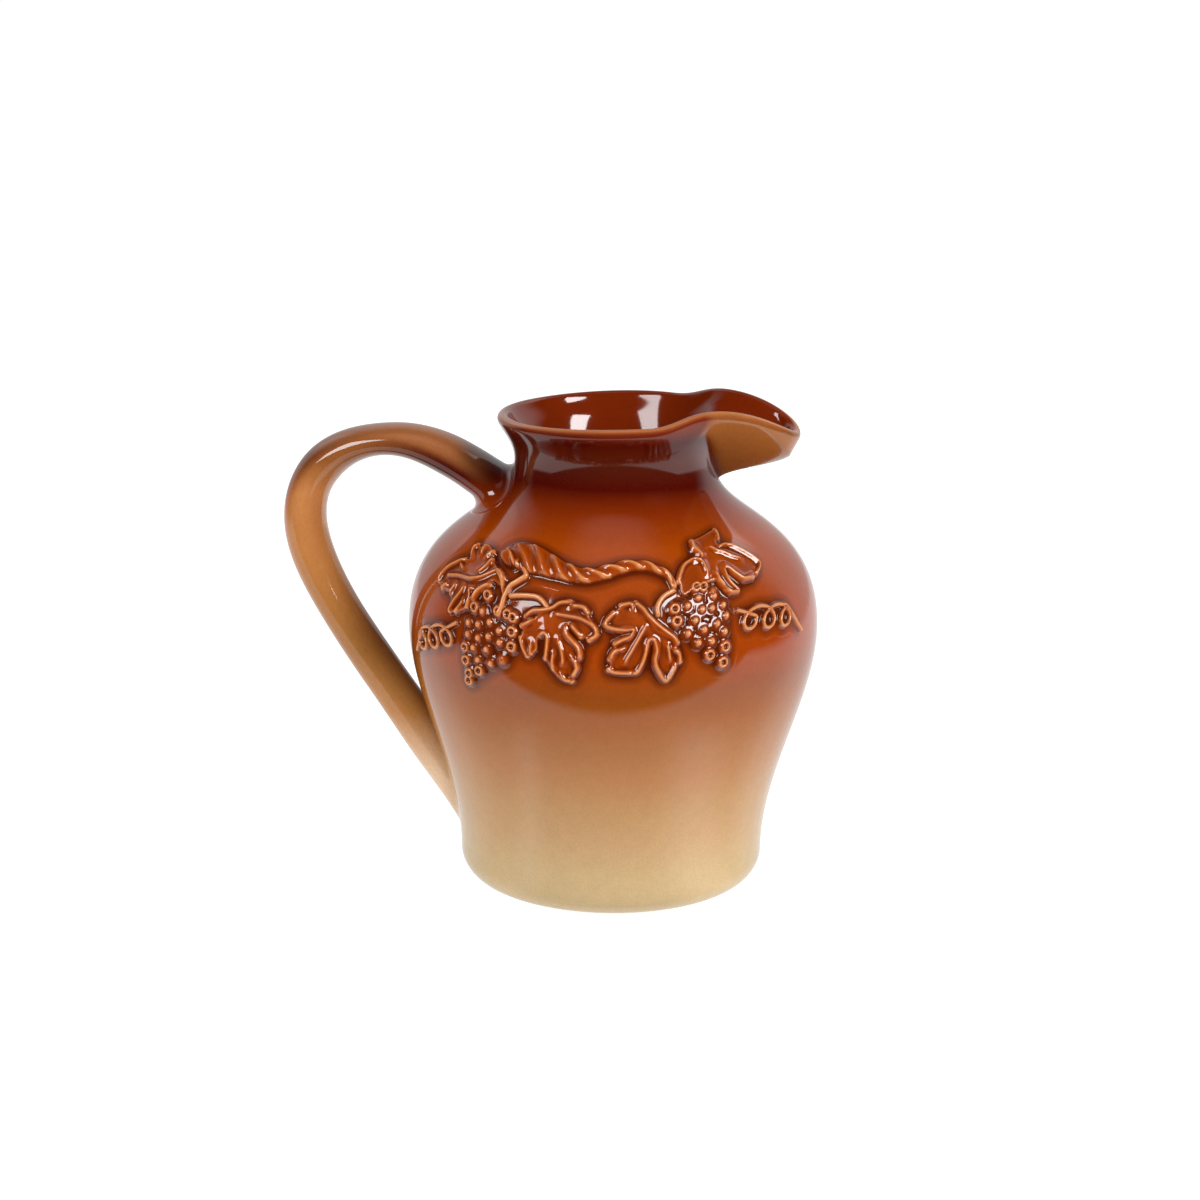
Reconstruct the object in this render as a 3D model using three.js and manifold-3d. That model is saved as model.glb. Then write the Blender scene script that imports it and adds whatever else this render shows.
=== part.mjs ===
// A glazed stoneware jug with a pulled spout, a looped strap handle and a sprigged grapevine on each side.
// Millimetres. The base stands on z = 0, +X points to the spout, -X to the handle, -Y is the front.

import * as THREE from 'three';
import { mergeVertices } from 'three/addons/utils/BufferGeometryUtils.js';
import Module from 'manifold-3d';

const wasm = await Module();
wasm.setup();

// Outer wall of the jug, from the foot up to the lip
const footRadius = 33.8;
const footRounding = 8;
const bellyRadius = 56;
const bellyHeight = 72;
const footWallRise = 23.8; // how far the wall above the foot heads straight up
const bellyDrop = 19.4; // how far the wall under the belly heads straight up
const shoulderRise = 31; // how far the wall above the belly heads straight up
const neckDrop = 16.5; // how far the shoulder sweeps into the neck
const neckRadius = 27.2;
const neckHeight = 117.5;
const collarRise = 4; // how far the neck heads straight up before it flares
const lipRadius = 30.3;
const lipHeight = 129.7;
const lipThickness = 3;
const rimDip = 1.1; // how much lower the rim stands at the handle
const rimDipAngle = 150; // degrees around the neck from the spout, from where the rim stands that low
const lipFlare = 25; // degrees that the lip leans outwards
const flareSweep = 3.7; // how far the flare follows the lip's lean
const wallThickness = 4;
const floorThickness = 4.5;

// Spout, pulled out of the neck
const spoutReach = 48.6; // from the axis to the middle of the lip at the tip
const spoutTipHeight = 125.6;
const spoutTipRoundness = 11;
const spoutTipRise = 1;
const humpOut = 28.5; // where the two sides of the spout stand highest
const humpHalfWidth = 17.5;
const humpHeight = 133;
const humpSweep = 13;
const spoutSideAngle = 29.4; // degrees between the spout's middle and its sides, from above
const humpAngle = 33; // degrees around the neck, from the middle of the spout
const spoutEndAngle = 66;
const rimSweep = 8;
const spoutRootHeight = 112.8; // where the keel of the spout leaves the neck
const creaseDepth = 5.02; // how far under the hump the crease beside the spout ends
const keelRise = 11.2; // height over which the keel runs out to the tip
const keelSpread = 20; // degrees over which the keel turns into the spout's sides
const collarDrop = 8.7; // how far under the lip the neck beside the spout starts to lift
const channelRise = 3; // how much higher the channel lies than the keel
const spoutSeat = 2.4; // width of neck wall that belongs to the spout, outside its creases
const seatGap = 0.3; // between any two pieces that are joined

// Handle, an oval strap from the neck down to the lower wall
const handleTopHeight = 108;
const crownOut = 60.8; // the highest point of the strap's middle
const crownHeight = 120.7;
const gripOut = 86.2; // the outermost point of the strap's middle
const gripHeight = 98.3;
const handleFootHeight = 24;
const topLeanOut = 3; // the first pull of the strap out of the neck
const topLeanUp = 2.4;
const crownSweepIn = 12.8;
const crownSweepOut = 13.7;
const gripSweepUp = 14.3;
const gripSweepDown = 19.1;
const footLean = 32.6; // degrees between the lower strap and the vertical
const footSweep = 34.6;
const strapThickness = [11.6, 10.8, 8.6, 11.2, 11.6, 11, 11.4, 12, 10.5]; // from the neck to the foot
const strapWidth = [23, 17.2, 16.4, 15, 13.2, 14.6];
const rootBury = 6; // how deep the strap's ends reach before the wall trims them

// Sprigged grapevine. Places are [around, up] in millimetres along the wall, from the middle of the
// garland and from the belly line.
const garlandAngle = -84; // degrees around the jug of the front garland's middle
const sprigThickness = 0.8;
const leafRimHeight = 1.7;
const leafFloorHeight = 1.0;
const leafHeartHeight = 1.4;
const veinHeight = 0.5;
const veinReach = 9; // degrees beside a lobe's tip in which the outline falls back
const stemHeight = 1.5;
const branchHeight = 2.3;
const slimBranchShare = 0.55; // share of that height where the branch ends thin
const strandShoulder = 0.45; // share of a strand's height at which its sides start to lean in
const strandTop = 0.5; // share of a strand's width that is left on its back
const grapeRadius = 1.35;
const grapeHeight = 1.9;
const grapeShoulder = 0.72; // share of a grape's radius that is left at its shoulder
const grapeShoulderHeight = 1.6;
const padMargin = 0.6; // how far the bunch's bed shows around its grapes
const padLift = 0.12; // keeps the bed's flat facets clear of the round wall
const tendrilWidth = 1.1;
const tendrilHeight = 1.1;
const tendrilTop = 0.6; // share of a tendril's width that is left on its back
const twistPitch = 6.5; // length of one turn of the twisted branch
const twistDepth = 0.45;

const branchRoute = [
  [-27.5, 30.8], [-21.1, 30.1], [-16.6, 28.8], [-12.4, 27.4], [-7, 26.2], [-1.9, 27], [3.3, 28.9],
  [8.5, 29.4], [12.4, 28.2], [15.9, 25.8], [17.3, 22.8],
];
const branchHalfWidth = [3.6, 3.4, 2.4, 2.1, 2.1, 2.1, 2.1, 1.7, 1.3, 1.1, 0.9];
const stemRoutes = {
  left_bunch_stem: [
    [[-22.6, 25.8], [-25.3, 22.4], [-27.5, 18.9], [-28.8, 16.2]],
    [[-27.4, 18.6], [-28.2, 20.8], [-28.9, 22.8], [-30.4, 24.7]],
  ],
  left_leaf_stem: [[[-25.4, 18.5], [-20.4, 19.6], [-16.6, 18.8], [-15.2, 16.9]]],
  right_leaf_stem: [[[17.1, 21.6], [14.6, 20.2], [13.1, 17.9], [13.2, 15.6]]],
};
const stemHalfWidth = 0.85;

const leaves = {
  outer_left_leaf: {
    heart: [-40.3, 21.4],
    outline: [
      [0, 6.6], [18, 3.6], [50, 5.4], [68, 7.6], [78, 8.8], [90, 6.1], [107, 10.6], [119, 5.4], [134, 10],
      [147, 4.5], [160, 8.4], [178, 13.2], [190, 14], [201, 8.6], [212, 11.8], [230, 5.8], [247, 10.9],
      [262, 8.9], [283, 3.7], [308, 7.3], [333, 4.2], [350, 7],
    ],
  },
  centre_left_leaf: {
    heart: [-15.2, 16],
    outline: [
      [7, 9.3], [25, 5.9], [95, 1.2], [185, 2.2], [200, 4.9], [214, 8.5], [227, 10], [239, 11.2], [246, 8.8],
      [254, 12.4], [266, 12.2], [276, 8.2], [284, 17.4], [291, 19], [300, 17.3], [312, 13.6], [321, 6.8],
      [329, 12], [338, 14.6], [350, 12.5],
    ],
  },
  centre_right_leaf: {
    heart: [11.2, 13.9],
    outline: [
      [20, 2.2], [95, 3.2], [126, 5.4], [145, 7.7], [165, 9.7], [182, 11.5], [192, 10], [203, 5.4],
      [213, 11], [223, 14.6], [231, 16.4], [241, 14.8], [253, 13], [263, 9.4], [271, 5], [279, 12],
      [286, 16.4], [297, 14.2], [309, 12], [320, 6.2], [345, 2.6],
    ],
  },
  outer_right_leaf: {
    heart: [27.7, 25.4],
    outline: [
      [8, 17.2], [20, 15.5], [32, 12.6], [43, 9.3], [52, 14], [60, 15.4], [73, 12.1], [83, 6], [94, 9.5],
      [108, 4.2], [146, 5.8], [173, 7.9], [190, 9.5], [207, 10.4], [225, 4.4], [285, 4.2], [302, 7.4],
      [316, 9.8], [326, 8.4], [334, 5], [343, 13.2], [350, 17], [358, 19.2],
    ],
  },
};

// Rows of grapes, from the top of the bunch down: [first grape around, number of grapes]
const bunches = {
  left_grape_bunch: {
    top: 14,
    rowPitch: 2.9,
    grapePitch: 3.3,
    rows: [[-33, 3], [-38, 5], [-39.6, 5], [-41.2, 5], [-39.6, 4], [-41.2, 4], [-39.6, 2], [-40.5, 1]],
  },
  right_grape_bunch: {
    top: 19.4,
    rowPitch: 3.1,
    grapePitch: 3.6,
    rows: [[22.6, 3], [20.6, 4], [18.8, 5], [20.6, 4], [22.4, 4], [26, 3], [27.8, 2]],
  },
};

// Curly tendrils: first loop's middle, step from loop to loop, loops, and the two loose ends
const tendrils = {
  left_tendril: { first: [-47.3, 5.2], step: [-6, -1.8], loops: 3, root: [-43.4, 9], end: [-63.4, -2.6] },
  right_tendril: { first: [40, 12.2], step: [7, -0.8], loops: 3, root: [36, 14.6], end: [62.2, 5] },
};
const curlWidth = 3.7;
const curlHeight = 2.7;

// Fineness of the faceted surfaces
const plainColumns = 22;
const spoutColumns = 22;
const outerRows = [2, 7, 10, 7]; // foot, lower wall, shoulder, flare
const innerRows = [2, 5, 7, 6];
const lipRows = 4;
const strapSides = 14;
const strapRings = 30;
const stemStep = 1.7;
const tendrilStep = 1.4;
const grapeSides = 6;
const padSides = 14;
const curlSteps = 24; // places in one turn of a tendril
const widestLeafStep = 24; // degrees
const profileSamples = 160;

const radians = THREE.MathUtils.degToRad;
const up = new THREE.Vector3(0, 0, 1);

function flat(x, y) {
  return new THREE.Vector2(x, y);
}

// Rings of points joined into one closed body, with a centre point at each end
function ringedSolid(first, rings, last) {
  const sides = rings[0].length;
  const points = [first, ...rings.flat(), last];
  const end = points.length - 1;
  const at = (ring, side) => 1 + ring * sides + (side % sides);
  const index = [];
  for (let side = 0; side < sides; side++) {
    index.push(0, at(0, side + 1), at(0, side));
    for (let ring = 0; ring + 1 < rings.length; ring++) {
      index.push(at(ring, side), at(ring, side + 1), at(ring + 1, side + 1));
      index.push(at(ring, side), at(ring + 1, side + 1), at(ring + 1, side));
    }
    index.push(end, at(rings.length - 1, side), at(rings.length - 1, side + 1));
  }
  const geometry = new THREE.BufferGeometry();
  geometry.setAttribute('position', new THREE.Float32BufferAttribute(points.flatMap((p) => p.toArray()), 3));
  geometry.setIndex(index);
  return geometry;
}

function toSolid(geometry) {
  const bare = geometry.clone();
  bare.deleteAttribute('normal');
  bare.deleteAttribute('uv');
  const merged = mergeVertices(bare, 1e-4);
  const vertProperties = new Float32Array(merged.getAttribute('position').array);
  const triVerts = new Uint32Array(merged.index.array);
  return new wasm.Manifold(new wasm.Mesh({ numProp: 3, vertProperties, triVerts }));
}

function toGeometry(solid) {
  const mesh = solid.getMesh();
  const geometry = new THREE.BufferGeometry();
  geometry.setAttribute('position', new THREE.Float32BufferAttribute(mesh.vertProperties, 3));
  geometry.setIndex(new THREE.BufferAttribute(mesh.triVerts, 1));
  return geometry;
}

// Outer wall in section: x is the radius and y the height
const wallFoot = footRadius + footRounding;
const lean = flat(Math.sin(radians(lipFlare)), Math.cos(radians(lipFlare)));
const lipMiddle = flat(lipRadius, lipHeight);
const flareEnd = flat(lipRadius + (lipThickness / 2) * lean.y, lipHeight - (lipThickness / 2) * lean.x);
const wallCurves = [
  new THREE.EllipseCurve(footRadius, footRounding, footRounding, footRounding, -Math.PI / 2, 0),
  new THREE.CubicBezierCurve(
    flat(wallFoot, footRounding),
    flat(wallFoot, footRounding + footWallRise),
    flat(bellyRadius, bellyHeight - bellyDrop),
    flat(bellyRadius, bellyHeight),
  ),
  new THREE.CubicBezierCurve(
    flat(bellyRadius, bellyHeight),
    flat(bellyRadius, bellyHeight + shoulderRise),
    flat(neckRadius, neckHeight - neckDrop),
    flat(neckRadius, neckHeight),
  ),
  new THREE.CubicBezierCurve(
    flat(neckRadius, neckHeight),
    flat(neckRadius, neckHeight + collarRise),
    flareEnd.clone().addScaledVector(lean, -flareSweep),
    flareEnd,
  ),
];

// The wall as a fine list of places, each with its distance along the wall from the belly line
function measureWall() {
  const places = [];
  let path = 0;
  wallCurves.forEach((curve, part) => {
    for (let i = part === 0 ? 0 : 1; i <= profileSamples; i++) {
      const point = curve.getPoint(i / profileSamples);
      const tangent = curve.getTangent(i / profileSamples);
      path += places.length ? point.distanceTo(places[places.length - 1].point) : 0;
      places.push({ point, normal: flat(tangent.y, -tangent.x), path });
    }
  });
  const belly = places.find((place) => place.point.y >= bellyHeight).path;
  places.forEach((place) => (place.path -= belly));
  return places;
}
const wallPlaces = measureWall();

function wallAt(path) {
  let next = wallPlaces.findIndex((place) => place.path >= path);
  next = next < 0 ? wallPlaces.length - 1 : Math.max(next, 1);
  const a = wallPlaces[next - 1];
  const b = wallPlaces[next];
  const t = (path - a.path) / (b.path - a.path);
  return { point: a.point.clone().lerp(b.point, t), normal: a.normal.clone().lerp(b.normal, t).normalize() };
}

function wallRadiusAtHeight(height) {
  return wallPlaces.find((place) => place.point.y >= height).point.x;
}

// A point over the outer wall, at an angle around the jug, a distance along the wall, and a height off it
function overWall(angle, path, height) {
  const place = wallAt(path);
  const radius = place.point.x + height * place.normal.x;
  const z = place.point.y + height * place.normal.y;
  return new THREE.Vector3(radius * Math.cos(angle), radius * Math.sin(angle), z);
}

// Middle of the lip, as it runs round the rim and out over the spout
const tip = new THREE.Vector3(spoutReach, 0, spoutTipHeight);
const hump = new THREE.Vector3(humpOut, humpHalfWidth, humpHeight);
const sideRun = new THREE.Vector3(Math.cos(radians(spoutSideAngle)), -Math.sin(radians(spoutSideAngle)), 0);
const rimAngle = radians(spoutEndAngle);
const rimPoint = new THREE.Vector3(lipRadius * Math.cos(rimAngle), lipRadius * Math.sin(rimAngle), lipHeight);
const rimRun = new THREE.Vector3(Math.sin(rimAngle), -Math.cos(rimAngle), 0);
const tipToHump = new THREE.CubicBezierCurve3(
  tip,
  tip.clone().add(new THREE.Vector3(0, spoutTipRoundness, spoutTipRise)),
  hump.clone().addScaledVector(sideRun, humpSweep),
  hump,
);
const humpToRim = new THREE.CubicBezierCurve3(
  hump,
  hump.clone().addScaledVector(sideRun, -rimSweep),
  rimPoint.clone().addScaledVector(rimRun, rimSweep),
  rimPoint,
);

function lipLine(degrees) {
  const away = Math.abs(degrees);
  let point;
  if (away >= spoutEndAngle) {
    const height = lipHeight - rimDip * THREE.MathUtils.smoothstep(away, spoutEndAngle, rimDipAngle);
    const angle = radians(away);
    point = new THREE.Vector3(lipRadius * Math.cos(angle), lipRadius * Math.sin(angle), height);
  } else if (away >= humpAngle) {
    point = humpToRim.getPoint((away - humpAngle) / (spoutEndAngle - humpAngle));
  } else {
    point = tipToHump.getPoint(away / humpAngle);
  }
  point.y *= Math.sign(degrees) || 1;
  return point;
}

// A point on the lip's round edge: turn is 0 on its outside, 90 on top
function lipEdge(degrees, turn) {
  const along = lipLine(degrees + 0.1).sub(lipLine(degrees - 0.1)).setZ(0).normalize();
  const out = new THREE.Vector3(along.y, -along.x, 0);
  const half = lipThickness / 2;
  return lipLine(degrees)
    .addScaledVector(out, half * Math.cos(radians(turn)))
    .addScaledVector(up, half * Math.sin(radians(turn)));
}

// Height at which the spout leaves the neck, and height at which it is fully out
function spoutStart(degrees) {
  const away = Math.min(Math.abs(degrees), spoutEndAngle);
  const creased = Math.min(away, humpAngle) / humpAngle;
  const crease = THREE.MathUtils.lerp(spoutRootHeight, humpHeight - creaseDepth, creased);
  const past = Math.max(0, away - humpAngle) / (spoutEndAngle - humpAngle);
  return THREE.MathUtils.lerp(crease, lipHeight - collarDrop, past);
}

function spoutFinish(degrees) {
  const spread = Math.min(1, Math.abs(degrees) / keelSpread);
  return THREE.MathUtils.lerp(spoutRootHeight + keelRise, flareEnd.y, spread);
}

function eased(share) {
  const t = THREE.MathUtils.clamp(share, 0, 1);
  return (t + t * t * (3 - 2 * t)) / 2;
}

// A point of the wall after the spout is pulled. turn is where on the lip's edge this side of the wall ends.
function pulledPoint(section, degrees, turn, rise) {
  const angle = radians(degrees);
  const point = new THREE.Vector3(section.x * Math.cos(angle), section.x * Math.sin(angle), section.y);
  const start = spoutStart(degrees) + rise;
  const lift = rise * Math.max(0, 1 - Math.abs(degrees) / spoutEndAngle);
  const finish = Math.max(spoutFinish(degrees) + lift, start + 1);
  const rimX = lipRadius + (lipThickness / 2) * Math.cos(radians(turn));
  const rimZ = lipHeight + (lipThickness / 2) * Math.sin(radians(turn));
  const shift = lipEdge(degrees, turn);
  shift.sub(new THREE.Vector3(rimX * Math.cos(angle), rimX * Math.sin(angle), rimZ));
  return point.addScaledVector(shift, eased((section.y - start) / (finish - start)));
}

// The columns of the vessel, closer together around the spout
function columnAngles() {
  const angles = [];
  for (let i = 0; i < spoutColumns; i++) {
    angles.push(-spoutEndAngle + (2 * spoutEndAngle * i) / spoutColumns);
  }
  for (let i = 0; i < plainColumns; i++) {
    angles.push(spoutEndAngle + ((360 - 2 * spoutEndAngle) * i) / plainColumns);
  }
  return angles.map((angle) => (angle > 180 ? angle - 360 : angle));
}

// Thickness of the wall at a height: full in the body, thinner towards the lip
function wallAtHeight(height) {
  const toLip = THREE.MathUtils.clamp((height - bellyHeight) / (lipHeight - bellyHeight), 0, 1);
  const toFloor = THREE.MathUtils.clamp(1 - height / footRounding, 0, 1);
  const wall = THREE.MathUtils.lerp(wallThickness, lipThickness, toLip * toLip);
  return THREE.MathUtils.lerp(wall, floorThickness, toFloor);
}

// Places up the outer wall, with as many rows for each of its curves as the list asks for
function wallSection(rows) {
  return wallCurves.flatMap((curve, part) => {
    const shares = Array.from({ length: rows[part] + 1 }, (_, i) => i / rows[part]).slice(part === 0 ? 0 : 1);
    return shares.map((share) => {
      const tangent = curve.getTangent(share);
      return { point: curve.getPoint(share), normal: flat(tangent.y, -tangent.x) };
    });
  });
}

function vesselSolid() {
  const angles = columnAngles();
  const inside = wallSection(innerRows).map(({ point, normal }) => {
    return point.clone().addScaledVector(normal, -wallAtHeight(point.y));
  });
  const rings = wallSection(outerRows).map(({ point }) => {
    return angles.map((a) => pulledPoint(point, a, -lipFlare, 0));
  });
  for (let i = 1; i < lipRows; i++) {
    rings.push(angles.map((a) => lipEdge(a, -lipFlare + (180 * i) / lipRows)));
  }
  inside.reverse().forEach((point) => {
    rings.push(angles.map((a) => pulledPoint(point, a, 180 - lipFlare, channelRise)));
  });
  const floor = new THREE.Vector3(0, 0, floorThickness);
  return toSolid(ringedSolid(new THREE.Vector3(0, 0, 0), rings, floor));
}

// The filled jug without its spout, used to trim what seats on the wall
function wallCore(gap) {
  const profile = wallSection(outerRows).map(({ point, normal }) => {
    return point.clone().addScaledVector(normal, gap);
  });
  profile.unshift(flat(0, -gap));
  profile.push(flat(0, lipHeight));
  return toSolid(new THREE.LatheGeometry(profile, plainColumns * 3).rotateX(Math.PI / 2));
}

// The wedge of the neck that belongs to the spout: its two faces follow the creases and end over the lip
function spoutWedge(margin) {
  const overLip = Math.max(humpHeight, spoutTipHeight, lipHeight) + 3 * lipThickness;
  const shape = new THREE.Shape();
  const side = [];
  for (let away = 0; away <= humpAngle; away += humpAngle / 3) {
    side.push(flat(neckRadius * Math.sin(radians(away)) + margin, spoutStart(away) - margin));
  }
  side.push(flat(humpHalfWidth + margin, humpHeight - lipThickness));
  side.push(flat(humpHalfWidth + lipThickness + margin, humpHeight + 2 * lipThickness));
  side.push(flat(humpHalfWidth + lipThickness + margin, overLip));
  shape.setFromPoints([...side, ...side.map((p) => flat(-p.x, p.y)).reverse()]);
  const wedge = new THREE.ExtrudeGeometry(shape, { depth: spoutReach, bevelEnabled: false });
  // the shape's x and y become the jug's y and z, and it is pushed out along +X
  const turned = new THREE.Matrix4().makeBasis(new THREE.Vector3(0, 1, 0), up, new THREE.Vector3(1, 0, 0));
  wedge.applyMatrix4(turned);
  wedge.translate(lipRadius / 3, 0, 0);
  return toSolid(wedge);
}

// Handle: three curves from the neck over the crown and down to the lower wall
function strapCurve() {
  const at = (out, height) => new THREE.Vector3(-out, 0, height);
  const rootOut = wallRadiusAtHeight(handleTopHeight);
  const footOut = wallRadiusAtHeight(handleFootHeight);
  const bury = rootBury / Math.hypot(topLeanOut, topLeanUp);
  const slope = flat(Math.sin(radians(footLean)), Math.cos(radians(footLean)));
  const buriedTop = at(rootOut - bury * topLeanOut, handleTopHeight - bury * topLeanUp);
  const buriedFoot = at(footOut - rootBury * slope.x, handleFootHeight - rootBury * slope.y);
  const curve = new THREE.CurvePath();
  curve.add(new THREE.CubicBezierCurve3(
    buriedTop,
    at(rootOut + topLeanOut, handleTopHeight + topLeanUp),
    at(crownOut - crownSweepIn, crownHeight),
    at(crownOut, crownHeight),
  ));
  curve.add(new THREE.CubicBezierCurve3(
    at(crownOut, crownHeight),
    at(crownOut + crownSweepOut, crownHeight),
    at(gripOut, gripHeight + gripSweepUp),
    at(gripOut, gripHeight),
  ));
  curve.add(new THREE.CubicBezierCurve3(
    at(gripOut, gripHeight),
    at(gripOut, gripHeight - gripSweepDown),
    at(footOut + footSweep * slope.x, handleFootHeight + footSweep * slope.y),
    buriedFoot,
  ));
  return curve;
}

// A value that runs smoothly through a list of sizes as share goes from 0 to 1
function along(sizes, share) {
  const place = THREE.MathUtils.clamp(share, 0, 1) * (sizes.length - 1);
  const i = Math.min(Math.floor(place), sizes.length - 2);
  return THREE.MathUtils.lerp(sizes[i], sizes[i + 1], THREE.MathUtils.smoothstep(place - i, 0, 1));
}

function handleSolid() {
  const curve = strapCurve();
  const across = new THREE.Vector3(0, 1, 0);
  const rings = [];
  for (let i = 0; i <= strapRings; i++) {
    const share = i / strapRings;
    const middle = curve.getPointAt(share);
    const outward = across.clone().cross(curve.getTangentAt(share)).normalize();
    const ring = [];
    for (let side = 0; side < strapSides; side++) {
      const turn = (2 * Math.PI * side) / strapSides;
      ring.push(middle.clone()
        .addScaledVector(outward, (along(strapThickness, share) / 2) * Math.cos(turn))
        .addScaledVector(across, (-along(strapWidth, share) / 2) * Math.sin(turn)));
    }
    rings.push(ring.reverse());
  }
  const strap = toSolid(ringedSolid(curve.getPointAt(0), rings, curve.getPointAt(1)));
  return strap.subtract(wallCore(seatGap));
}

// Turns a place on the garland into an angle around the jug
function garlandTurn([around, path], side) {
  return radians(garlandAngle + side) + around / wallAt(path).point.x;
}

// Radius of a leaf's outline in a direction, eased from point to point
function outlineRadius(outline, degrees) {
  const points = [...outline].sort((a, b) => a[0] - b[0]);
  const turn = ((degrees % 360) + 360) % 360;
  let next = points.findIndex((point) => point[0] > turn);
  next = next < 0 ? 0 : next;
  const a = points[(next + points.length - 1) % points.length];
  const b = points[next];
  const span = ((b[0] - a[0] + 360) % 360) || 360;
  const t = ((turn - a[0] + 360) % 360) / span;
  return THREE.MathUtils.lerp(a[1], b[1], (1 - Math.cos(Math.PI * t)) / 2);
}

function leafPoint(leaf, side, degrees, distance, height) {
  const around = distance * Math.cos(radians(degrees));
  const path = leaf.heart[1] + distance * Math.sin(radians(degrees));
  const angle = garlandTurn(leaf.heart, side) + around / wallAt(path).point.x;
  return overWall(angle, path, height);
}

// The directions in which a leaf is sampled: its outline's own points and the middles of wide steps
function leafColumns(outline) {
  const turns = outline.map((point) => point[0]).sort((a, b) => a - b);
  return turns.flatMap((turn, i) => {
    const span = (turns[(i + 1) % turns.length] - turn + 360) % 360;
    const pieces = Math.ceil(span / widestLeafStep);
    return Array.from({ length: pieces }, (_, k) => turn + (span * k) / pieces);
  });
}

function isLobeTip(outline, degrees) {
  return outlineRadius(outline, degrees) > outlineRadius(outline, degrees + veinReach)
    && outlineRadius(outline, degrees) > outlineRadius(outline, degrees - veinReach);
}

function leafSolid(leaf, side) {
  const turns = leafColumns(leaf.outline);
  const shares = [0.4, 0.8, 1];
  const tops = [leafFloorHeight, leafRimHeight, sprigThickness];
  const ringAt = (share, height) => turns.map((turn) => {
    const veined = share < 1 && height > seatGap && isLobeTip(leaf.outline, turn);
    const vein = veined ? veinHeight * (1 - share) : 0;
    return leafPoint(leaf, side, turn, share * outlineRadius(leaf.outline, turn), height + vein);
  });
  const rings = shares.map((share) => ringAt(share, seatGap));
  for (let i = shares.length - 1; i >= 0; i--) {
    rings.push(ringAt(shares[i], seatGap + tops[i]));
  }
  const under = leafPoint(leaf, side, 0, 0, seatGap);
  const heart = leafPoint(leaf, side, 0, 0, seatGap + leafHeartHeight);
  return toSolid(ringedSolid(under, rings, heart));
}

// A leaf's outline pushed through the wall, a little larger than the leaf, to keep other sprigs clear of it
function leafClearance(leaf, side) {
  const turns = leafColumns(leaf.outline);
  const deep = -2 * sprigThickness;
  const high = 3 * leafRimHeight;
  const ringAt = (height) => turns.map((turn) => {
    return leafPoint(leaf, side, turn, outlineRadius(leaf.outline, turn) + seatGap, height);
  });
  const under = leafPoint(leaf, side, 0, 0, deep);
  return toSolid(ringedSolid(under, [ringAt(deep), ringAt(high)], leafPoint(leaf, side, 0, 0, high)));
}

// A low round-backed strand laid on the wall along a route of [around, up] places
function strand(route, side, section, from = 0, to = route.length - 1) {
  const count = route.length - 1;
  const ringsOf = route.map((place, i) => {
    const before = route[Math.max(i - 1, 0)];
    const after = route[Math.min(i + 1, count)];
    const run = flat(after[0] - before[0], after[1] - before[1]).normalize();
    return section(i / count, i).map(([offset, height]) => {
      const path = place[1] + offset * run.x;
      const angle = garlandTurn(place, side) - (offset * run.y) / wallAt(path).point.x;
      return overWall(angle, path, height);
    });
  });
  const middle = (i) => {
    return ringsOf[i].reduce((sum, p) => sum.add(p), new THREE.Vector3()).divideScalar(ringsOf[i].length);
  };
  return toSolid(ringedSolid(middle(from), ringsOf.slice(from, to + 1), middle(to)));
}

// Evenly spaced places along a smooth curve through a route
function resample(route, step) {
  const places = route.map(([x, y]) => new THREE.Vector3(x, y, 0));
  const curve = new THREE.CatmullRomCurve3(places, false, 'centripetal');
  const count = Math.max(2, Math.round(curve.getLength() / step));
  return curve.getSpacedPoints(count).map((p) => [p.x, p.y]);
}

// Section of a strand: wide on the wall, narrower on top, listed so that its faces point outwards
function backedSection(half, height, grow = 0) {
  const low = grow > 0 ? -2 * sprigThickness : seatGap;
  const top = seatGap + height + 3 * grow;
  const wide = half + grow;
  const shoulder = low + (top - low) * strandShoulder;
  const back = wide * strandTop;
  return [[wide, low], [wide, shoulder], [back, top], [-back, top], [-wide, shoulder], [-wide, low]];
}

function branchSolid(side, grow = 0) {
  const route = resample(branchRoute, stemStep);
  const length = route.length * stemStep;
  return strand(route, side, (share) => {
    const half = along(branchHalfWidth, share);
    const fullness = Math.min(1, half / branchHalfWidth[branchHalfWidth.length >> 1]);
    const height = branchHeight * THREE.MathUtils.lerp(slimBranchShare, 1, fullness);
    const section = backedSection(half, height, grow);
    const turn = (2 * Math.PI * share * length) / twistPitch;
    // the strands of the twisted vine rise and fall across its back
    section[2][1] += twistDepth * Math.cos(turn);
    section[3][1] -= twistDepth * Math.cos(turn);
    return section;
  });
}

function stemSolid(routes, side, grow = 0) {
  const stems = routes.map((route) => {
    return strand(resample(route, stemStep), side, () => backedSection(stemHalfWidth, stemHeight, grow));
  });
  return stems.reduce((all, stem) => all.add(stem));
}

function grapePlaces(bunch) {
  return bunch.rows.flatMap(([first, count], row) => {
    const path = bunch.top - row * bunch.rowPitch;
    return Array.from({ length: count }, (_, k) => [first + k * bunch.grapePitch, path]);
  });
}

// A grape as a low faceted dome that stands through the bunch's bed, as low as the bed's underside
function grapeSolid(place, side) {
  const ring = (share, height) => Array.from({ length: grapeSides }, (_, k) => {
    const turn = (2 * Math.PI * k) / grapeSides;
    const across = share * grapeRadius * Math.cos(turn);
    const path = place[1] + share * grapeRadius * Math.sin(turn);
    return overWall(garlandTurn(place, side) + across / wallAt(place[1]).point.x, path, seatGap + height);
  });
  const rings = [ring(1, padLift), ring(grapeShoulder, grapeShoulderHeight)];
  const at = (height) => overWall(garlandTurn(place, side), place[1], seatGap + height);
  return toSolid(ringedSolid(at(padLift), rings, at(grapeHeight)));
}

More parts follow.
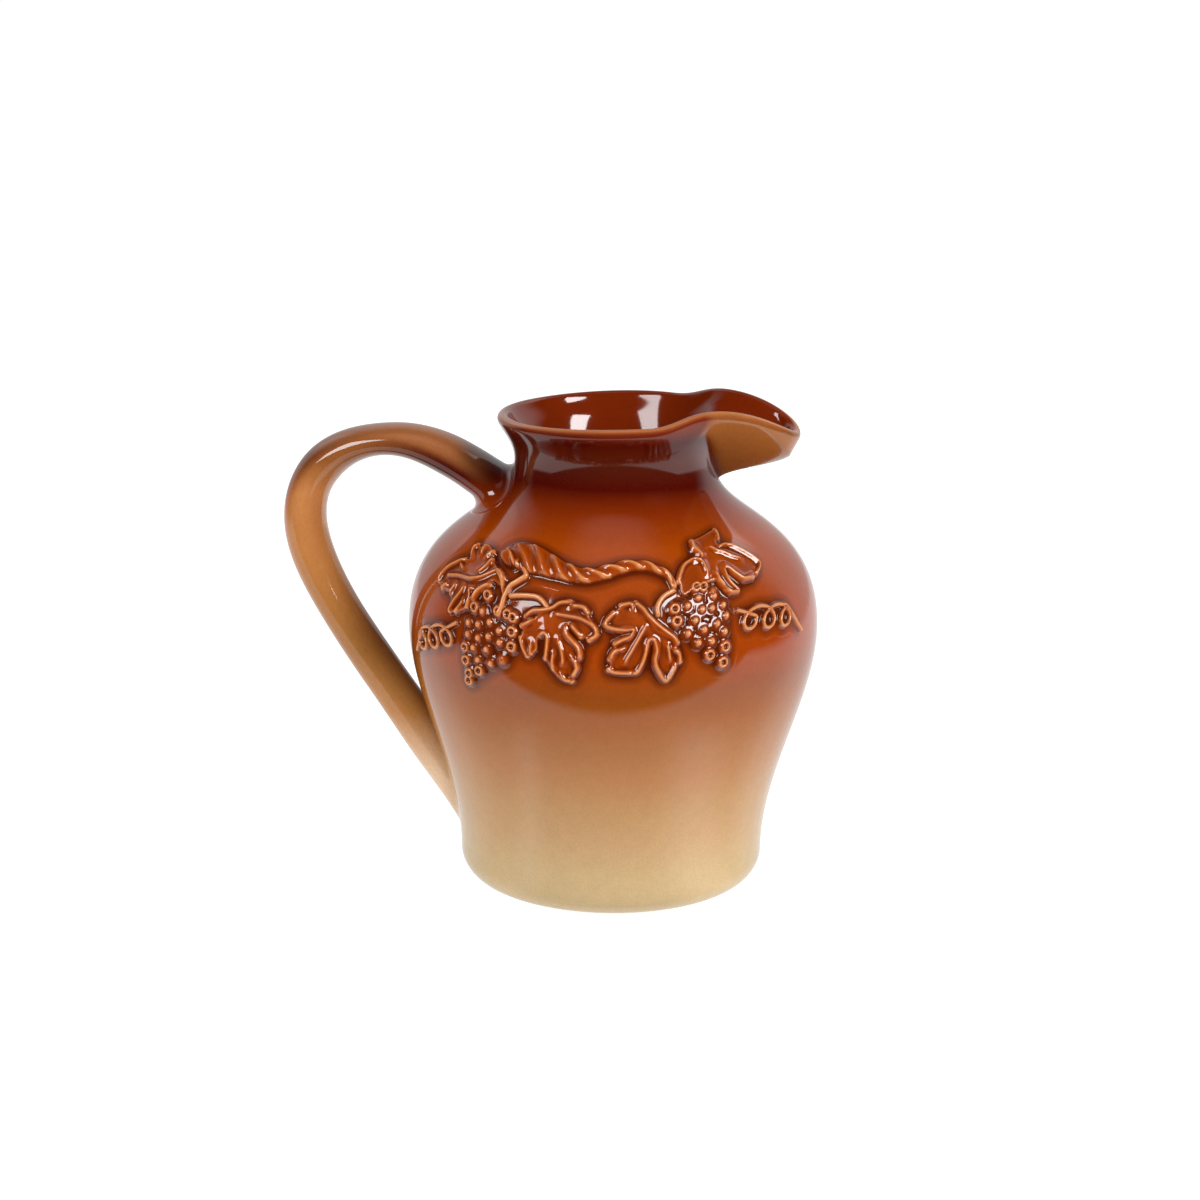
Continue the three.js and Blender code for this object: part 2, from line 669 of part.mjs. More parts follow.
// The bed of a bunch: the outline that encloses its grapes
function bedSolid(bunch, side) {
  const places = grapePlaces(bunch);
  const middle = [
    places.reduce((sum, p) => sum + p[0], 0) / places.length,
    places.reduce((sum, p) => sum + p[1], 0) / places.length,
  ];
  const reach = (turn) => Math.max(...places.map(([x, y]) => {
    return (x - middle[0]) * Math.cos(turn) + (y - middle[1]) * Math.sin(turn);
  })) + grapeRadius + padMargin;
  const turns = Array.from({ length: padSides }, (_, k) => (2 * Math.PI * k) / padSides);
  // where two neighbouring edges of the enclosing outline meet
  const step = Math.PI / padSides;
  const cornerAt = (turn) => {
    const a = reach(turn - step);
    const b = reach(turn + step);
    const corner = flat((a + b) / (2 * Math.cos(step)), (b - a) / (2 * Math.sin(step)));
    return corner.rotateAround(flat(0, 0), turn);
  };
  const ring = (share, height) => turns.map((turn) => {
    const corner = cornerAt(turn);
    const path = middle[1] + share * corner.y;
    const angle = garlandTurn(middle, side) + (share * corner.x) / wallAt(path).point.x;
    return overWall(angle, path, seatGap + height);
  });
  const rings = [0.25, 0.5, 0.75, 1].map((share) => ring(share, padLift));
  rings.push(ring(1, sprigThickness / 2), ring(0.5, sprigThickness));
  const at = (height) => overWall(garlandTurn(middle, side), middle[1], seatGap + height);
  return toSolid(ringedSolid(at(padLift), rings, at(sprigThickness)));
}

function bunchSolid(bunch, side) {
  return grapePlaces(bunch).reduce((all, place) => all.add(grapeSolid(place, side)), bedSolid(bunch, side));
}

// The route of a tendril: a rolling curl with a loose end on each side
function tendrilRoute({ first, step, loops, root, end }) {
  const heading = Math.sign(step[0]);
  const route = [root];
  const lastStep = loops * curlSteps - 2;
  for (let i = curlSteps / 4; i <= lastStep; i++) {
    const turn = (2 * Math.PI * i) / curlSteps;
    const share = i / curlSteps - 0.5;
    route.push([
      first[0] + share * step[0] + heading * curlWidth * Math.sin(turn),
      first[1] + share * step[1] + curlHeight * Math.cos(turn),
    ]);
  }
  route.push(end);
  return route;
}

// A tendril is joined from stretches that end at the foot of each curl, because its curls cross themselves
function tendrilSolid(tendril, side) {
  const route = resample(tendrilRoute(tendril), tendrilStep);
  const half = tendrilWidth / 2;
  const low = seatGap;
  const high = low + tendrilHeight;
  const section = [[half, low], [half * tendrilTop, high], [-half * tendrilTop, high], [-half, low]];
  const feet = Array.from({ length: tendril.loops }, (_, k) => {
    const x = tendril.first[0] + k * tendril.step[0];
    const y = tendril.first[1] + k * tendril.step[1] - curlHeight;
    const away = route.map((place) => Math.hypot(place[0] - x, place[1] - y));
    return away.indexOf(Math.min(...away));
  });
  const ends = [0, ...feet, route.length - 1];
  const stretches = feet.map((foot, k) => strand(route, side, () => section, ends[k], foot));
  stretches.push(strand(route, side, () => section, ends[tendril.loops], route.length - 1));
  return stretches.reduce((all, stretch) => all.add(stretch));
}

const colours = {
  glaze: 0x9a4a1c,
  spout: 0x9c6a34,
  handle: 0xa8703a,
  sprig: 0xb5622c,
  grape: 0xa85526,
};

function part(name, solid, colour) {
  const material = new THREE.MeshStandardMaterial({ color: colour, roughness: 0.2, flatShading: true });
  const mesh = new THREE.Mesh(toGeometry(solid), material);
  mesh.name = name;
  return mesh;
}

// One garland of sprigs. side is 0 for the front, and 180 degrees for the back.
function garland(side, suffix) {
  const group = new THREE.Group();
  const branchClearance = branchSolid(side, seatGap);
  group.add(part(`vine_branch_${suffix}`, branchSolid(side), colours.sprig));
  const stemClearances = [];
  for (const [name, routes] of Object.entries(stemRoutes)) {
    const stem = stemSolid(routes, side).subtract(branchClearance);
    group.add(part(`${name}_${suffix}`, stem, colours.sprig));
    stemClearances.push(stemSolid(routes, side, seatGap));
  }
  const strands = stemClearances.reduce((all, stem) => all.add(stem), branchClearance);
  for (const [name, leaf] of Object.entries(leaves)) {
    group.add(part(`${name}_${suffix}`, leafSolid(leaf, side).subtract(strands), colours.sprig));
  }
  const leafRoom = Object.values(leaves).map((leaf) => leafClearance(leaf, side));
  const planted = leafRoom.reduce((all, leaf) => all.add(leaf), strands);
  for (const [name, bunch] of Object.entries(bunches)) {
    group.add(part(`${name}_${suffix}`, bunchSolid(bunch, side).subtract(planted), colours.grape));
  }
  for (const [name, tendril] of Object.entries(tendrils)) {
    group.add(part(`${name}_${suffix}`, tendrilSolid(tendril, side), colours.sprig));
  }
  return group;
}

const jug = new THREE.Group();
const vessel = vesselSolid();
jug.add(part('body', vessel.subtract(spoutWedge(spoutSeat + seatGap)), colours.glaze));
jug.add(part('pouring_spout', vessel.intersect(spoutWedge(spoutSeat)), colours.spout));
jug.add(part('handle', handleSolid(), colours.handle));
jug.add(garland(0, 'front'));
jug.add(garland(180, 'back'));

export default jug;
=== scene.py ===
"""A glazed stoneware jug with a pulled spout, a strap handle and a sprigged grapevine, on a white table.

Sizes are in millimetres and each finished mesh is brought to metres. The foot stands on z = 0, +X points to
the spout, -X to the handle and -Y is the front."""

import functools
import math

import bmesh
import bpy
import numpy as np
from mathutils import Matrix, Vector


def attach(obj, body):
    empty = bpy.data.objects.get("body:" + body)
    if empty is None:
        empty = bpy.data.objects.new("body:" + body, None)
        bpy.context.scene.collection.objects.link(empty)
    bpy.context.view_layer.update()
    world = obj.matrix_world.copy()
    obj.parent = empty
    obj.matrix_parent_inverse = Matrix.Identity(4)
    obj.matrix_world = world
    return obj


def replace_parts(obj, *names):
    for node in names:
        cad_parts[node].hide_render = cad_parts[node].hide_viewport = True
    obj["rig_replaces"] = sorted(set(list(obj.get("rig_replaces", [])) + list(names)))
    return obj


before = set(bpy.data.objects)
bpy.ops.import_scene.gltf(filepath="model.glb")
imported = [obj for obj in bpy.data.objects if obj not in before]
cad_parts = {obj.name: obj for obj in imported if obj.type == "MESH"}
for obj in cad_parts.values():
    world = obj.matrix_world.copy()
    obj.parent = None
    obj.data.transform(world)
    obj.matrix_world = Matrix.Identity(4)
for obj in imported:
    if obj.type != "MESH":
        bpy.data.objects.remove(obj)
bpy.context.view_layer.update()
MM = 0.001

# The outer wall. The potter throws it as one even line from the foot up over the belly, in at the shoulder
# and out again to the lip. Each stretch of that line is a curve from one height to the next.
FOOT_RADIUS = 33.8
FOOT_ROUNDING = 8
BELLY_RADIUS = 56
BELLY_HEIGHT = 72
FOOT_WALL_RISE = 23.8
BELLY_DROP = 19.4
SHOULDER_RISE = 31
NECK_DROP = 16.5
NECK_RADIUS = 27.2
NECK_HEIGHT = 117.5
COLLAR_RISE = 4
LIP_RADIUS = 30.3
LIP_HEIGHT = 129.7
LIP_THICKNESS = 3
LIP_FLARE = 25  # degrees that the lip leans outwards
FLARE_SWEEP = 3.7
WALL_SAMPLES = 160  # places along each stretch where the wall is measured


def bezier(a, b, c, d, t):
    """Place t, from 0 to 1, on the curve that leaves a towards b and reaches d from c."""
    s = 1 - t
    return a * s**3 + b * 3 * s**2 * t + c * 3 * s * t**2 + d * t**3


def wall_stretches():
    """The outer wall's four stretches, each a function from a share of the stretch to (radius, height)."""
    foot_wall = FOOT_RADIUS + FOOT_ROUNDING
    lean = Vector((math.sin(math.radians(LIP_FLARE)), math.cos(math.radians(LIP_FLARE))))
    flare_end = Vector((LIP_RADIUS + LIP_THICKNESS / 2 * lean.y, LIP_HEIGHT - LIP_THICKNESS / 2 * lean.x))
    belly = Vector((BELLY_RADIUS, BELLY_HEIGHT))
    neck = Vector((NECK_RADIUS, NECK_HEIGHT))

    def foot(t):
        turn = math.radians(90 * (t - 1))
        return Vector((
            FOOT_RADIUS + FOOT_ROUNDING * math.cos(turn),
            FOOT_ROUNDING + FOOT_ROUNDING * math.sin(turn),
        ))

    def lower(t):
        start = Vector((foot_wall, FOOT_ROUNDING))
        return bezier(start, start + Vector((0, FOOT_WALL_RISE)), belly - Vector((0, BELLY_DROP)), belly, t)

    def shoulder(t):
        return bezier(belly, belly + Vector((0, SHOULDER_RISE)), neck - Vector((0, NECK_DROP)), neck, t)

    def flare(t):
        return bezier(neck, neck + Vector((0, COLLAR_RISE)), flare_end - lean * FLARE_SWEEP, flare_end, t)

    return [foot, lower, shoulder, flare]


def wall_line(rows):
    """Places and outward directions up the wall, with as many rows in each stretch as the list asks for."""
    places = []
    normals = []
    for number, (stretch, count) in enumerate(zip(wall_stretches(), rows)):
        for row in range(0 if number == 0 else 1, count + 1):
            share = row / count
            run = stretch(min(share + 1e-4, 1)) - stretch(max(share - 1e-4, 0))
            run.normalize()
            places.append(stretch(share))
            normals.append(Vector((run.y, -run.x)))
    return places, normals


fine_places, fine_normals = wall_line([WALL_SAMPLES] * 4)
wall_place = np.array(fine_places)
wall_normal = np.array(fine_normals)
wall_path = np.concatenate([[0], np.cumsum(np.hypot(*np.diff(wall_place, axis=0).T))])
wall_path -= np.interp(BELLY_HEIGHT, wall_place[:, 1], wall_path)


def on_wall(path):
    """Radius, height and outward direction of the wall at distances along it from the belly line."""
    columns = [*wall_place.T, *wall_normal.T]
    return [np.interp(path, wall_path, column) for column in columns]


# The lip and the spout. While the clay is soft the lip is drawn out with a finger into a pointed spout, which
# lifts the rim into a hump on each side of it and leaves a crease down the neck under each hump.
RIM_DIP = 1.1  # how much lower the rim stands at the handle
RIM_DIP_ANGLE = 150
SPOUT_REACH = 48.6
SPOUT_TIP_HEIGHT = 125.6
SPOUT_TIP_ROUNDNESS = 11
SPOUT_TIP_RISE = 1
HUMP_OUT = 28.5
HUMP_HALF_WIDTH = 17.5
HUMP_HEIGHT = 133
HUMP_SWEEP = 13
SPOUT_SIDE_ANGLE = 29.4
HUMP_ANGLE = 33
SPOUT_END_ANGLE = 66
RIM_SWEEP = 8
SPOUT_ROOT_HEIGHT = 112.8
CREASE_DEPTH = 5.02
KEEL_RISE = 11.2
KEEL_SPREAD = 20
COLLAR_DROP = 8.7
CHANNEL_RISE = 3
WALL_THICKNESS = 4
FLOOR_THICKNESS = 4.5
UP = Vector((0, 0, 1))


def smoothstep(low, high, value):
    t = np.clip((value - low) / (high - low), 0, 1)
    return t * t * (3 - 2 * t)


def mix(a, b, share):
    return a + (b - a) * share


def lip_line(degrees):
    """Middle of the lip in a direction round the neck, 0 in the middle of the spout."""
    away = abs(degrees)
    end = math.radians(SPOUT_END_ANGLE)
    hump = Vector((HUMP_OUT, HUMP_HALF_WIDTH, HUMP_HEIGHT))
    side_turn = math.radians(SPOUT_SIDE_ANGLE)
    side_run = Vector((math.cos(side_turn), -math.sin(side_turn), 0))
    if away >= SPOUT_END_ANGLE:
        height = LIP_HEIGHT - RIM_DIP * float(smoothstep(SPOUT_END_ANGLE, RIM_DIP_ANGLE, away))
        turn = math.radians(away)
        point = Vector((LIP_RADIUS * math.cos(turn), LIP_RADIUS * math.sin(turn), height))
    elif away >= HUMP_ANGLE:
        rim = Vector((LIP_RADIUS * math.cos(end), LIP_RADIUS * math.sin(end), LIP_HEIGHT))
        rim_run = Vector((math.sin(end), -math.cos(end), 0))
        share = (away - HUMP_ANGLE) / (SPOUT_END_ANGLE - HUMP_ANGLE)
        point = bezier(hump, hump - side_run * RIM_SWEEP, rim + rim_run * RIM_SWEEP, rim, share)
    else:
        tip = Vector((SPOUT_REACH, 0, SPOUT_TIP_HEIGHT))
        tip_run = Vector((0, SPOUT_TIP_ROUNDNESS, SPOUT_TIP_RISE))
        point = bezier(tip, tip + tip_run, hump + side_run * HUMP_SWEEP, hump, away / HUMP_ANGLE)
    point.y *= -1 if degrees < 0 else 1
    return point


@functools.lru_cache(maxsize=None)
def lip_edge(degrees, turn):
    """A place on the lip's round edge: turn is 0 on its outside and 90 on top."""
    run = lip_line(degrees + 0.1) - lip_line(degrees - 0.1)
    run.z = 0
    run.normalize()
    out = Vector((run.y, -run.x, 0))
    half = LIP_THICKNESS / 2
    across = out * math.cos(math.radians(turn)) + UP * math.sin(math.radians(turn))
    return (lip_line(degrees) + across * half).freeze()


def column_angle(point):
    """Degrees round the axis, rounded so that every place of one column gives the same number."""
    return round(math.degrees(math.atan2(point.y, point.x)), 2)


def pulled_share(height, degrees, rise):
    """How far a height of the wall goes with the lip when the spout is drawn out."""
    away = min(abs(degrees), SPOUT_END_ANGLE)
    creased = min(away, HUMP_ANGLE) / HUMP_ANGLE
    crease = mix(SPOUT_ROOT_HEIGHT, HUMP_HEIGHT - CREASE_DEPTH, creased)
    past = max(0, away - HUMP_ANGLE) / (SPOUT_END_ANGLE - HUMP_ANGLE)
    start = mix(crease, LIP_HEIGHT - COLLAR_DROP, past) + rise
    flare_top = wall_place[-1][1]
    finish = mix(SPOUT_ROOT_HEIGHT + KEEL_RISE, flare_top, min(1, abs(degrees) / KEEL_SPREAD))
    finish = max(finish + rise * max(0, 1 - abs(degrees) / SPOUT_END_ANGLE), start + 1)
    t = min(max((height - start) / (finish - start), 0), 1)
    return (t + t * t * (3 - 2 * t)) / 2


def pulled_place(point, turn, rise):
    """Where a place of the thrown wall lands when the spout is drawn out of the neck."""
    degrees = column_angle(point)
    share = pulled_share(point.z, degrees, rise)
    if share == 0:
        return point
    half = LIP_THICKNESS / 2
    rim_radius = LIP_RADIUS + half * math.cos(math.radians(turn))
    rim_height = LIP_HEIGHT + half * math.sin(math.radians(turn))
    angle = math.radians(degrees)
    thrown = Vector((rim_radius * math.cos(angle), rim_radius * math.sin(angle), rim_height))
    return point + (lip_edge(degrees, turn) - thrown) * share


# The thrown vessel, wall, floor and lip in one. It is buff stoneware under a brown glaze, and the base that
# stood on the kiln shelf is bare clay.
OUTER_ROWS = [10, 56, 72, 26]  # foot, lower wall, shoulder, flare
INNER_ROWS = [6, 20, 26, 24]
LIP_ROWS = 14
FLOOR_ROWS = 6
COLUMNS = 18  # columns in one sector
SECTORS = 20
OUTSIDE, LIP, INSIDE = 0, 1, 2
LIP_BREAK = 62  # where on the lip's round edge the glaze is thinnest
LIP_BREAK_REACH = 28
LIP_BREAK_SHARE = 0.6
SPOUT_BARE_ANGLE = 35  # how far round the neck the spout's bare side reaches
SPOUT_BARE_BLUR = 3
SPOUT_BARE_DRAWN = (0.03, 0.2)  # how far the wall is drawn out where that side begins, and where it is barest
LIP_BARE_SHARE = 0.6
INSIDE_ON_LIP = (70, 120)  # where on the lip's round edge the inside glaze begins, and where it covers


def wall_at_height(height):
    """Thickness of the wall: full in the body, thinner towards the lip, and the floor's own at the foot."""
    to_lip = min(max((height - BELLY_HEIGHT) / (LIP_HEIGHT - BELLY_HEIGHT), 0), 1)
    to_floor = min(max(1 - height / FOOT_ROUNDING, 0), 1)
    return mix(mix(WALL_THICKNESS, LIP_THICKNESS, to_lip**2), FLOOR_THICKNESS, to_floor)


def vessel_outline():
    """The wall in section, from the middle of the base round the lip to the middle of the floor: radius,
    height, the side of the wall, and where on the lip's edge that side ends."""
    base = [(FOOT_RADIUS * row / FLOOR_ROWS, 0) for row in range(FLOOR_ROWS)]
    outer = wall_line(OUTER_ROWS)[0]
    places, normals = wall_line(INNER_ROWS)
    inner = [place - normal * wall_at_height(place.y) for place, normal in zip(places, normals)]
    floor = [(inner[0].x * row / FLOOR_ROWS, FLOOR_THICKNESS) for row in range(FLOOR_ROWS)]
    outline = [(*place, OUTSIDE, -LIP_FLARE) for place in [*base, *outer]]
    for row in range(1, LIP_ROWS):
        turn = -LIP_FLARE + 180 * row / LIP_ROWS
        across = LIP_THICKNESS / 2 * Vector((math.cos(math.radians(turn)), math.sin(math.radians(turn))))
        outline.append((LIP_RADIUS + across.x, LIP_HEIGHT + across.y, LIP, turn))
    for place in [*reversed(inner), *reversed(floor)]:
        outline.append((*place, INSIDE, 180 - LIP_FLARE))
    return outline


def throw_vessel():
    """Turns the section round the axis, then draws the spout out of the neck."""
    bm = bmesh.new()
    side_layer = bm.verts.layers.float.new("side")
    turn_layer = bm.verts.layers.float.new("turn")
    thin_layer = bm.verts.layers.float.new("thin")
    bare_layer = bm.verts.layers.float.new("bare")
    inside_layer = bm.verts.layers.float.new("inside")
    before = None
    for radius, height, side, turn in vessel_outline():
        vert = bm.verts.new((radius, 0, height))
        vert[side_layer] = side
        vert[turn_layer] = turn
        if before:
            bm.edges.new((before, vert))
        before = vert
    sector = math.tau / SECTORS
    about_axis = {"cent": (0, 0, 0), "axis": (0, 0, 1)}
    bmesh.ops.spin(bm, geom=[*bm.verts, *bm.edges], angle=sector, steps=COLUMNS, **about_axis)
    sheet = [*bm.verts, *bm.edges, *bm.faces]
    bmesh.ops.spin(
        bm, geom=sheet, angle=math.tau - sector, steps=SECTORS - 1, use_duplicate=True, **about_axis
    )
    bmesh.ops.remove_doubles(bm, verts=bm.verts, dist=1e-3)
    for vert in bm.verts:
        side = round(vert[side_layer])
        turn = round(vert[turn_layer], 2)
        degrees = column_angle(vert.co)
        spout_side = float(smoothstep(SPOUT_BARE_BLUR, -SPOUT_BARE_BLUR, abs(degrees) - SPOUT_BARE_ANGLE))
        if side == LIP:
            vert[thin_layer] = LIP_BREAK_SHARE * math.exp(-((turn - LIP_BREAK) / LIP_BREAK_REACH)**2)
            vert[inside_layer] = float(smoothstep(*INSIDE_ON_LIP, turn))
            vert[bare_layer] = LIP_BARE_SHARE * spout_side * (1 - vert[inside_layer])
            vert.co = lip_edge(degrees, turn)
        elif side == INSIDE:
            vert[inside_layer] = 1
            if vert.co.z > SPOUT_ROOT_HEIGHT:
                vert.co = pulled_place(vert.co, turn, CHANNEL_RISE)
        elif vert.co.z > SPOUT_ROOT_HEIGHT:
            drawn = pulled_share(vert.co.z, degrees, 0)
            vert[bare_layer] = spout_side * float(smoothstep(*SPOUT_BARE_DRAWN, drawn))
            vert.co = pulled_place(vert.co, turn, 0)
    bmesh.ops.recalc_face_normals(bm, faces=bm.faces)
    return bm


# The glaze. Cream glaze covers the whole jug, and an iron-brown one is sprayed over its top half, so that it
# fades from dark brown at the neck to cream at the foot. It breaks to tan where it is thin, on ridges and
# edges. Beside the sprigs and in their hollows it is drawn darker, partly from glaze that pools there and
# partly as painted shade.
FADE = [  # height, and the glaze's colour there
    (0, (167, 145, 105)), (12, (168, 141, 97)), (22, (163, 127, 84)), (32, (156, 115, 68)),
    (42, (149, 96, 48)), (51, (138, 81, 27)), (58, (132, 68, 2)), (66, (123, 59, 15)), (76, (139, 52, 2)),
    (90, (140, 58, 16)), (101, (147, 58, 2)), (108, (115, 37, 3)), (114, (66, 7, 2)), (121, (73, 22, 8)),
    (127, (58, 3, 2)), (131, (100, 30, 8)),
]
BARE_FADE = [  # where the brown was not sprayed: the handle's and the spout's undersides
    (0, (205, 175, 145)), (26, (204, 172, 140)), (45, (166, 112, 60)), (62, (146, 96, 46)),
    (85, (160, 104, 54)), (106, (170, 110, 62)), (116, (128, 74, 32)), (130, (140, 84, 40)),
]
INSIDE_COLOUR = (106, 31, 3)
THIN_COLOUR = (190, 120, 70)
# the dark of glaze pooled round the sprigs, also used as painted shade beside them and in their hollows
POOL_AND_SHADE_COLOUR = (58, 11, 1)
FADE_TOP = 135  # height at the top end of both ramps
DRIFT = 5  # how far the edge of the brown glaze wanders up and down
DRIFT_SIZE = 38
MOTTLE_SIZE = 3
MOTTLE_DEPTH = 0.16  # how much of the colour's brightness comes and goes with the mottle
GRAIN_SIZE = 0.5
GRAIN_DEPTH = 0.36
ROUGHNESS_GAIN = 0.1  # the lighter the mottle, the duller the glaze
ROUGHNESS_BASE = -0.02
SWELL_SIZE = 9
SWELL_HEIGHT = 0.12
SWELL_STRENGTH = 0.25
GLAZE_IOR = 1.62
GLAZE_VALUES = ("Thin", "Pool_and_shade", "Bare", "Inside")


def colour(red, green, blue):
    """A colour as a picture shows it, from 0 to 255, as the renderer counts light."""
    shares = [value / 255 for value in (red, green, blue)]
    return (*[share / 12.92 if share <= 0.04045 else ((share + 0.055) / 1.055)**2.4 for share in shares], 1)


def add_node(tree, kind, **settings):
    node = tree.nodes.new(f"ShaderNode{kind}")
    for name, value in settings.items():
        setattr(node, name, value)
    return node


def noise(tree, place, size, detail=2.0):
    """Cloudy unevenness with spots of about that size in millimetres, from 0 to 1."""
    node = add_node(tree, "TexNoise")
    tree.links.new(place, node.inputs["Vector"])
    node.inputs["Scale"].default_value = 1 / (size * MM)
    node.inputs["Detail"].default_value = detail
    return node.outputs["Fac"]


def arithmetic(tree, operation, *values):
    node = add_node(tree, "Math", operation=operation)
    for socket, value in zip(node.inputs, values):
        if isinstance(value, (int, float)):
            socket.default_value = value
        else:
            tree.links.new(value, socket)
    return node.outputs[0]


def blend_colour(tree, share, low, high, kind="MIX"):
    node = add_node(tree, "Mix", data_type="RGBA", blend_type=kind)
    for name, value in (("Factor", share), ("A", low), ("B", high)):
        socket = [s for s in node.inputs if s.name == name and s.enabled][0]
        if isinstance(value, (int, float, tuple)):
            socket.default_value = value
        else:
            tree.links.new(value, socket)
    return [s for s in node.outputs if s.enabled][0]


def fade_ramp(tree, height, stops):
    node = add_node(tree, "ValToRGB")
    tree.links.new(height, node.inputs[0])
    ramp = node.color_ramp
    while len(ramp.elements) < len(stops):
        ramp.elements.new(0.5)
    for element, (at, shade) in zip(ramp.elements, stops):
        element.position = at / FADE_TOP
        element.color = colour(*shade)
    return node.outputs[0]


def make_glaze_group():
    """Node group: the glaze's colour, roughness and swell, by how thin, pooled or darkened with painted
    shade, bare or inside it is.
    """
    tree = bpy.data.node_groups.new("two_tone_glaze", "ShaderNodeTree")
    for name in GLAZE_VALUES:
        tree.interface.new_socket(name, in_out="INPUT", socket_type="NodeSocketFloat")
    for name, kind in (("Color", "Color"), ("Roughness", "Float"), ("Height", "Float")):
        tree.interface.new_socket(name, in_out="OUTPUT", socket_type=f"NodeSocket{kind}")
    given = tree.nodes.new("NodeGroupInput")
    made = tree.nodes.new("NodeGroupOutput")
    place = add_node(tree, "TexCoord").outputs["Object"]
    split = add_node(tree, "SeparateXYZ")
    tree.links.new(place, split.inputs[0])
    drift = arithmetic(tree, "SUBTRACT", noise(tree, place, DRIFT_SIZE), 0.5)
    height = arithmetic(tree, "MULTIPLY_ADD", drift, DRIFT * MM, split.outputs["Z"])
    height = arithmetic(tree, "DIVIDE", height, FADE_TOP * MM)
    sprayed = fade_ramp(tree, height, FADE)
    bare = fade_ramp(tree, height, BARE_FADE)
    shade = blend_colour(tree, given.outputs["Bare"], sprayed, bare)
    shade = blend_colour(tree, given.outputs["Inside"], shade, colour(*INSIDE_COLOUR))
    # Painted shade as well as the darker pooled glaze: beside the sprigs and in their hollows
    shade = blend_colour(tree, given.outputs["Pool_and_shade"], shade, colour(*POOL_AND_SHADE_COLOUR))
    shade = blend_colour(tree, given.outputs["Thin"], shade, colour(*THIN_COLOUR))
    mottle = noise(tree, place, MOTTLE_SIZE, detail=4)
    mottle = arithmetic(tree, "MULTIPLY_ADD", mottle, MOTTLE_DEPTH, 1 - MOTTLE_DEPTH / 2)
    grain = noise(tree, place, GRAIN_SIZE, detail=3)
    grain = arithmetic(tree, "MULTIPLY_ADD", grain, GRAIN_DEPTH, 1 - GRAIN_DEPTH / 2)
    uneven = arithmetic(tree, "MULTIPLY", mottle, grain)
    shade = blend_colour(tree, 1.0, shade, uneven, "MULTIPLY")
    tree.links.new(shade, made.inputs["Color"])
    rough = arithmetic(tree, "MULTIPLY_ADD", mottle, ROUGHNESS_GAIN, ROUGHNESS_BASE)
    tree.links.new(rough, made.inputs["Roughness"])
    tree.links.new(noise(tree, place, SWELL_SIZE, detail=1), made.inputs["Height"])
    return tree


glaze_group = make_glaze_group()


def new_material(name):
    """A material, its node tree and its shader."""
    material = bpy.data.materials.new(name)
    material.use_nodes = True
    tree = material.node_tree
    return material, tree, tree.nodes["Principled BSDF"]


def add_unevenness(tree, shader, relief, strength, depth):
    """Tilts the surface as if a relief from 0 to 1 stood that many millimetres high on it."""
    bump = add_node(tree, "Bump")
    bump.inputs["Strength"].default_value = strength
    bump.inputs["Distance"].default_value = depth * MM
    tree.links.new(relief, bump.inputs["Height"])
    tree.links.new(bump.outputs[0], shader.inputs["Normal"])


def glaze(name):
    """A glazed surface that reads the thin, pooled glaze and painted shade, bare and inside values of the
    piece it is on.
    """
    material, tree, shader = new_material(name)
    group = add_node(tree, "Group", node_tree=glaze_group)
    for value in GLAZE_VALUES:
        attribute = add_node(tree, "Attribute", attribute_name=value.lower())
        tree.links.new(attribute.outputs["Fac"], group.inputs[value])
    tree.links.new(group.outputs["Color"], shader.inputs["Base Color"])
    tree.links.new(group.outputs["Roughness"], shader.inputs["Roughness"])
    add_unevenness(tree, shader, group.outputs["Height"], SWELL_STRENGTH, SWELL_HEIGHT)
    shader.inputs["IOR"].default_value = GLAZE_IOR
    return material


def finished_piece(bm, name, material):
    """Brings a mesh to metres, smooths it, and gives it its material and its place in the scene."""
    bmesh.ops.scale(bm, vec=(MM, MM, MM), verts=bm.verts)
    mesh = bpy.data.meshes.new(name)
    bm.to_mesh(mesh)
    bm.free()
    mesh.shade_smooth()
    mesh.materials.append(material)
    piece = bpy.data.objects.new(name, mesh)
    bpy.context.scene.collection.objects.link(piece)
    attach(piece, "root")
    return piece


brown_glaze = glaze("brown_glaze")
vessel = finished_piece(throw_vessel(), "thrown_vessel", brown_glaze)
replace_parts(vessel, "body", "pouring_spout")

# The inside glaze. The red-brown glaze is poured into the jug and out again before the outside is sprayed,
# so it is a thin skin of its own that ends on the lip.
INSIDE_GLAZE = 0.15
INSIDE_BED = 0.1  # how deep its back lies under the wall's skin
INSIDE_WHOLE = 0.999  # the share of inside glaze at which the skin ends


def pour_inside_glaze():
    """Takes the wall's skin where the inside glaze lies and gives it the glaze's thickness."""
    bm = bmesh.new()
    bm.from_mesh(vessel.data)
    bmesh.ops.scale(bm, vec=(1 / MM, 1 / MM, 1 / MM), verts=bm.verts)
    inside_layer = bm.verts.layers.float["inside"]
    outside = [vert for vert in bm.verts if vert[inside_layer] < INSIDE_WHOLE]
    bmesh.ops.delete(bm, geom=outside, context="VERTS")
    bm.normal_update()
    for vert in bm.verts:
        vert.co += INSIDE_GLAZE * vert.normal
    bmesh.ops.solidify(bm, geom=bm.faces, thickness=INSIDE_GLAZE + INSIDE_BED)
    bmesh.ops.recalc_face_normals(bm, faces=bm.faces)
    return bm


inside_glaze = finished_piece(pour_inside_glaze(), "inside_glaze", brown_glaze)

# The bare clay of the base. The potter wipes the glaze off where the jug stands on the kiln shelf, and the
# buff stoneware shows there, matt and gritty.
CLAY_COLOURS = [(158, 120, 84), (216, 184, 146)]
CLAY_GRAIN = 0.9
CLAY_ROUGHNESS = 0.85
GRIT_HEIGHT = 0.1
GRIT_STRENGTH = 0.4
CLAY_RADIUS = 31.5  # where the wiped base ends
BASE_TOP = 0.2  # what lies lower than this is the base


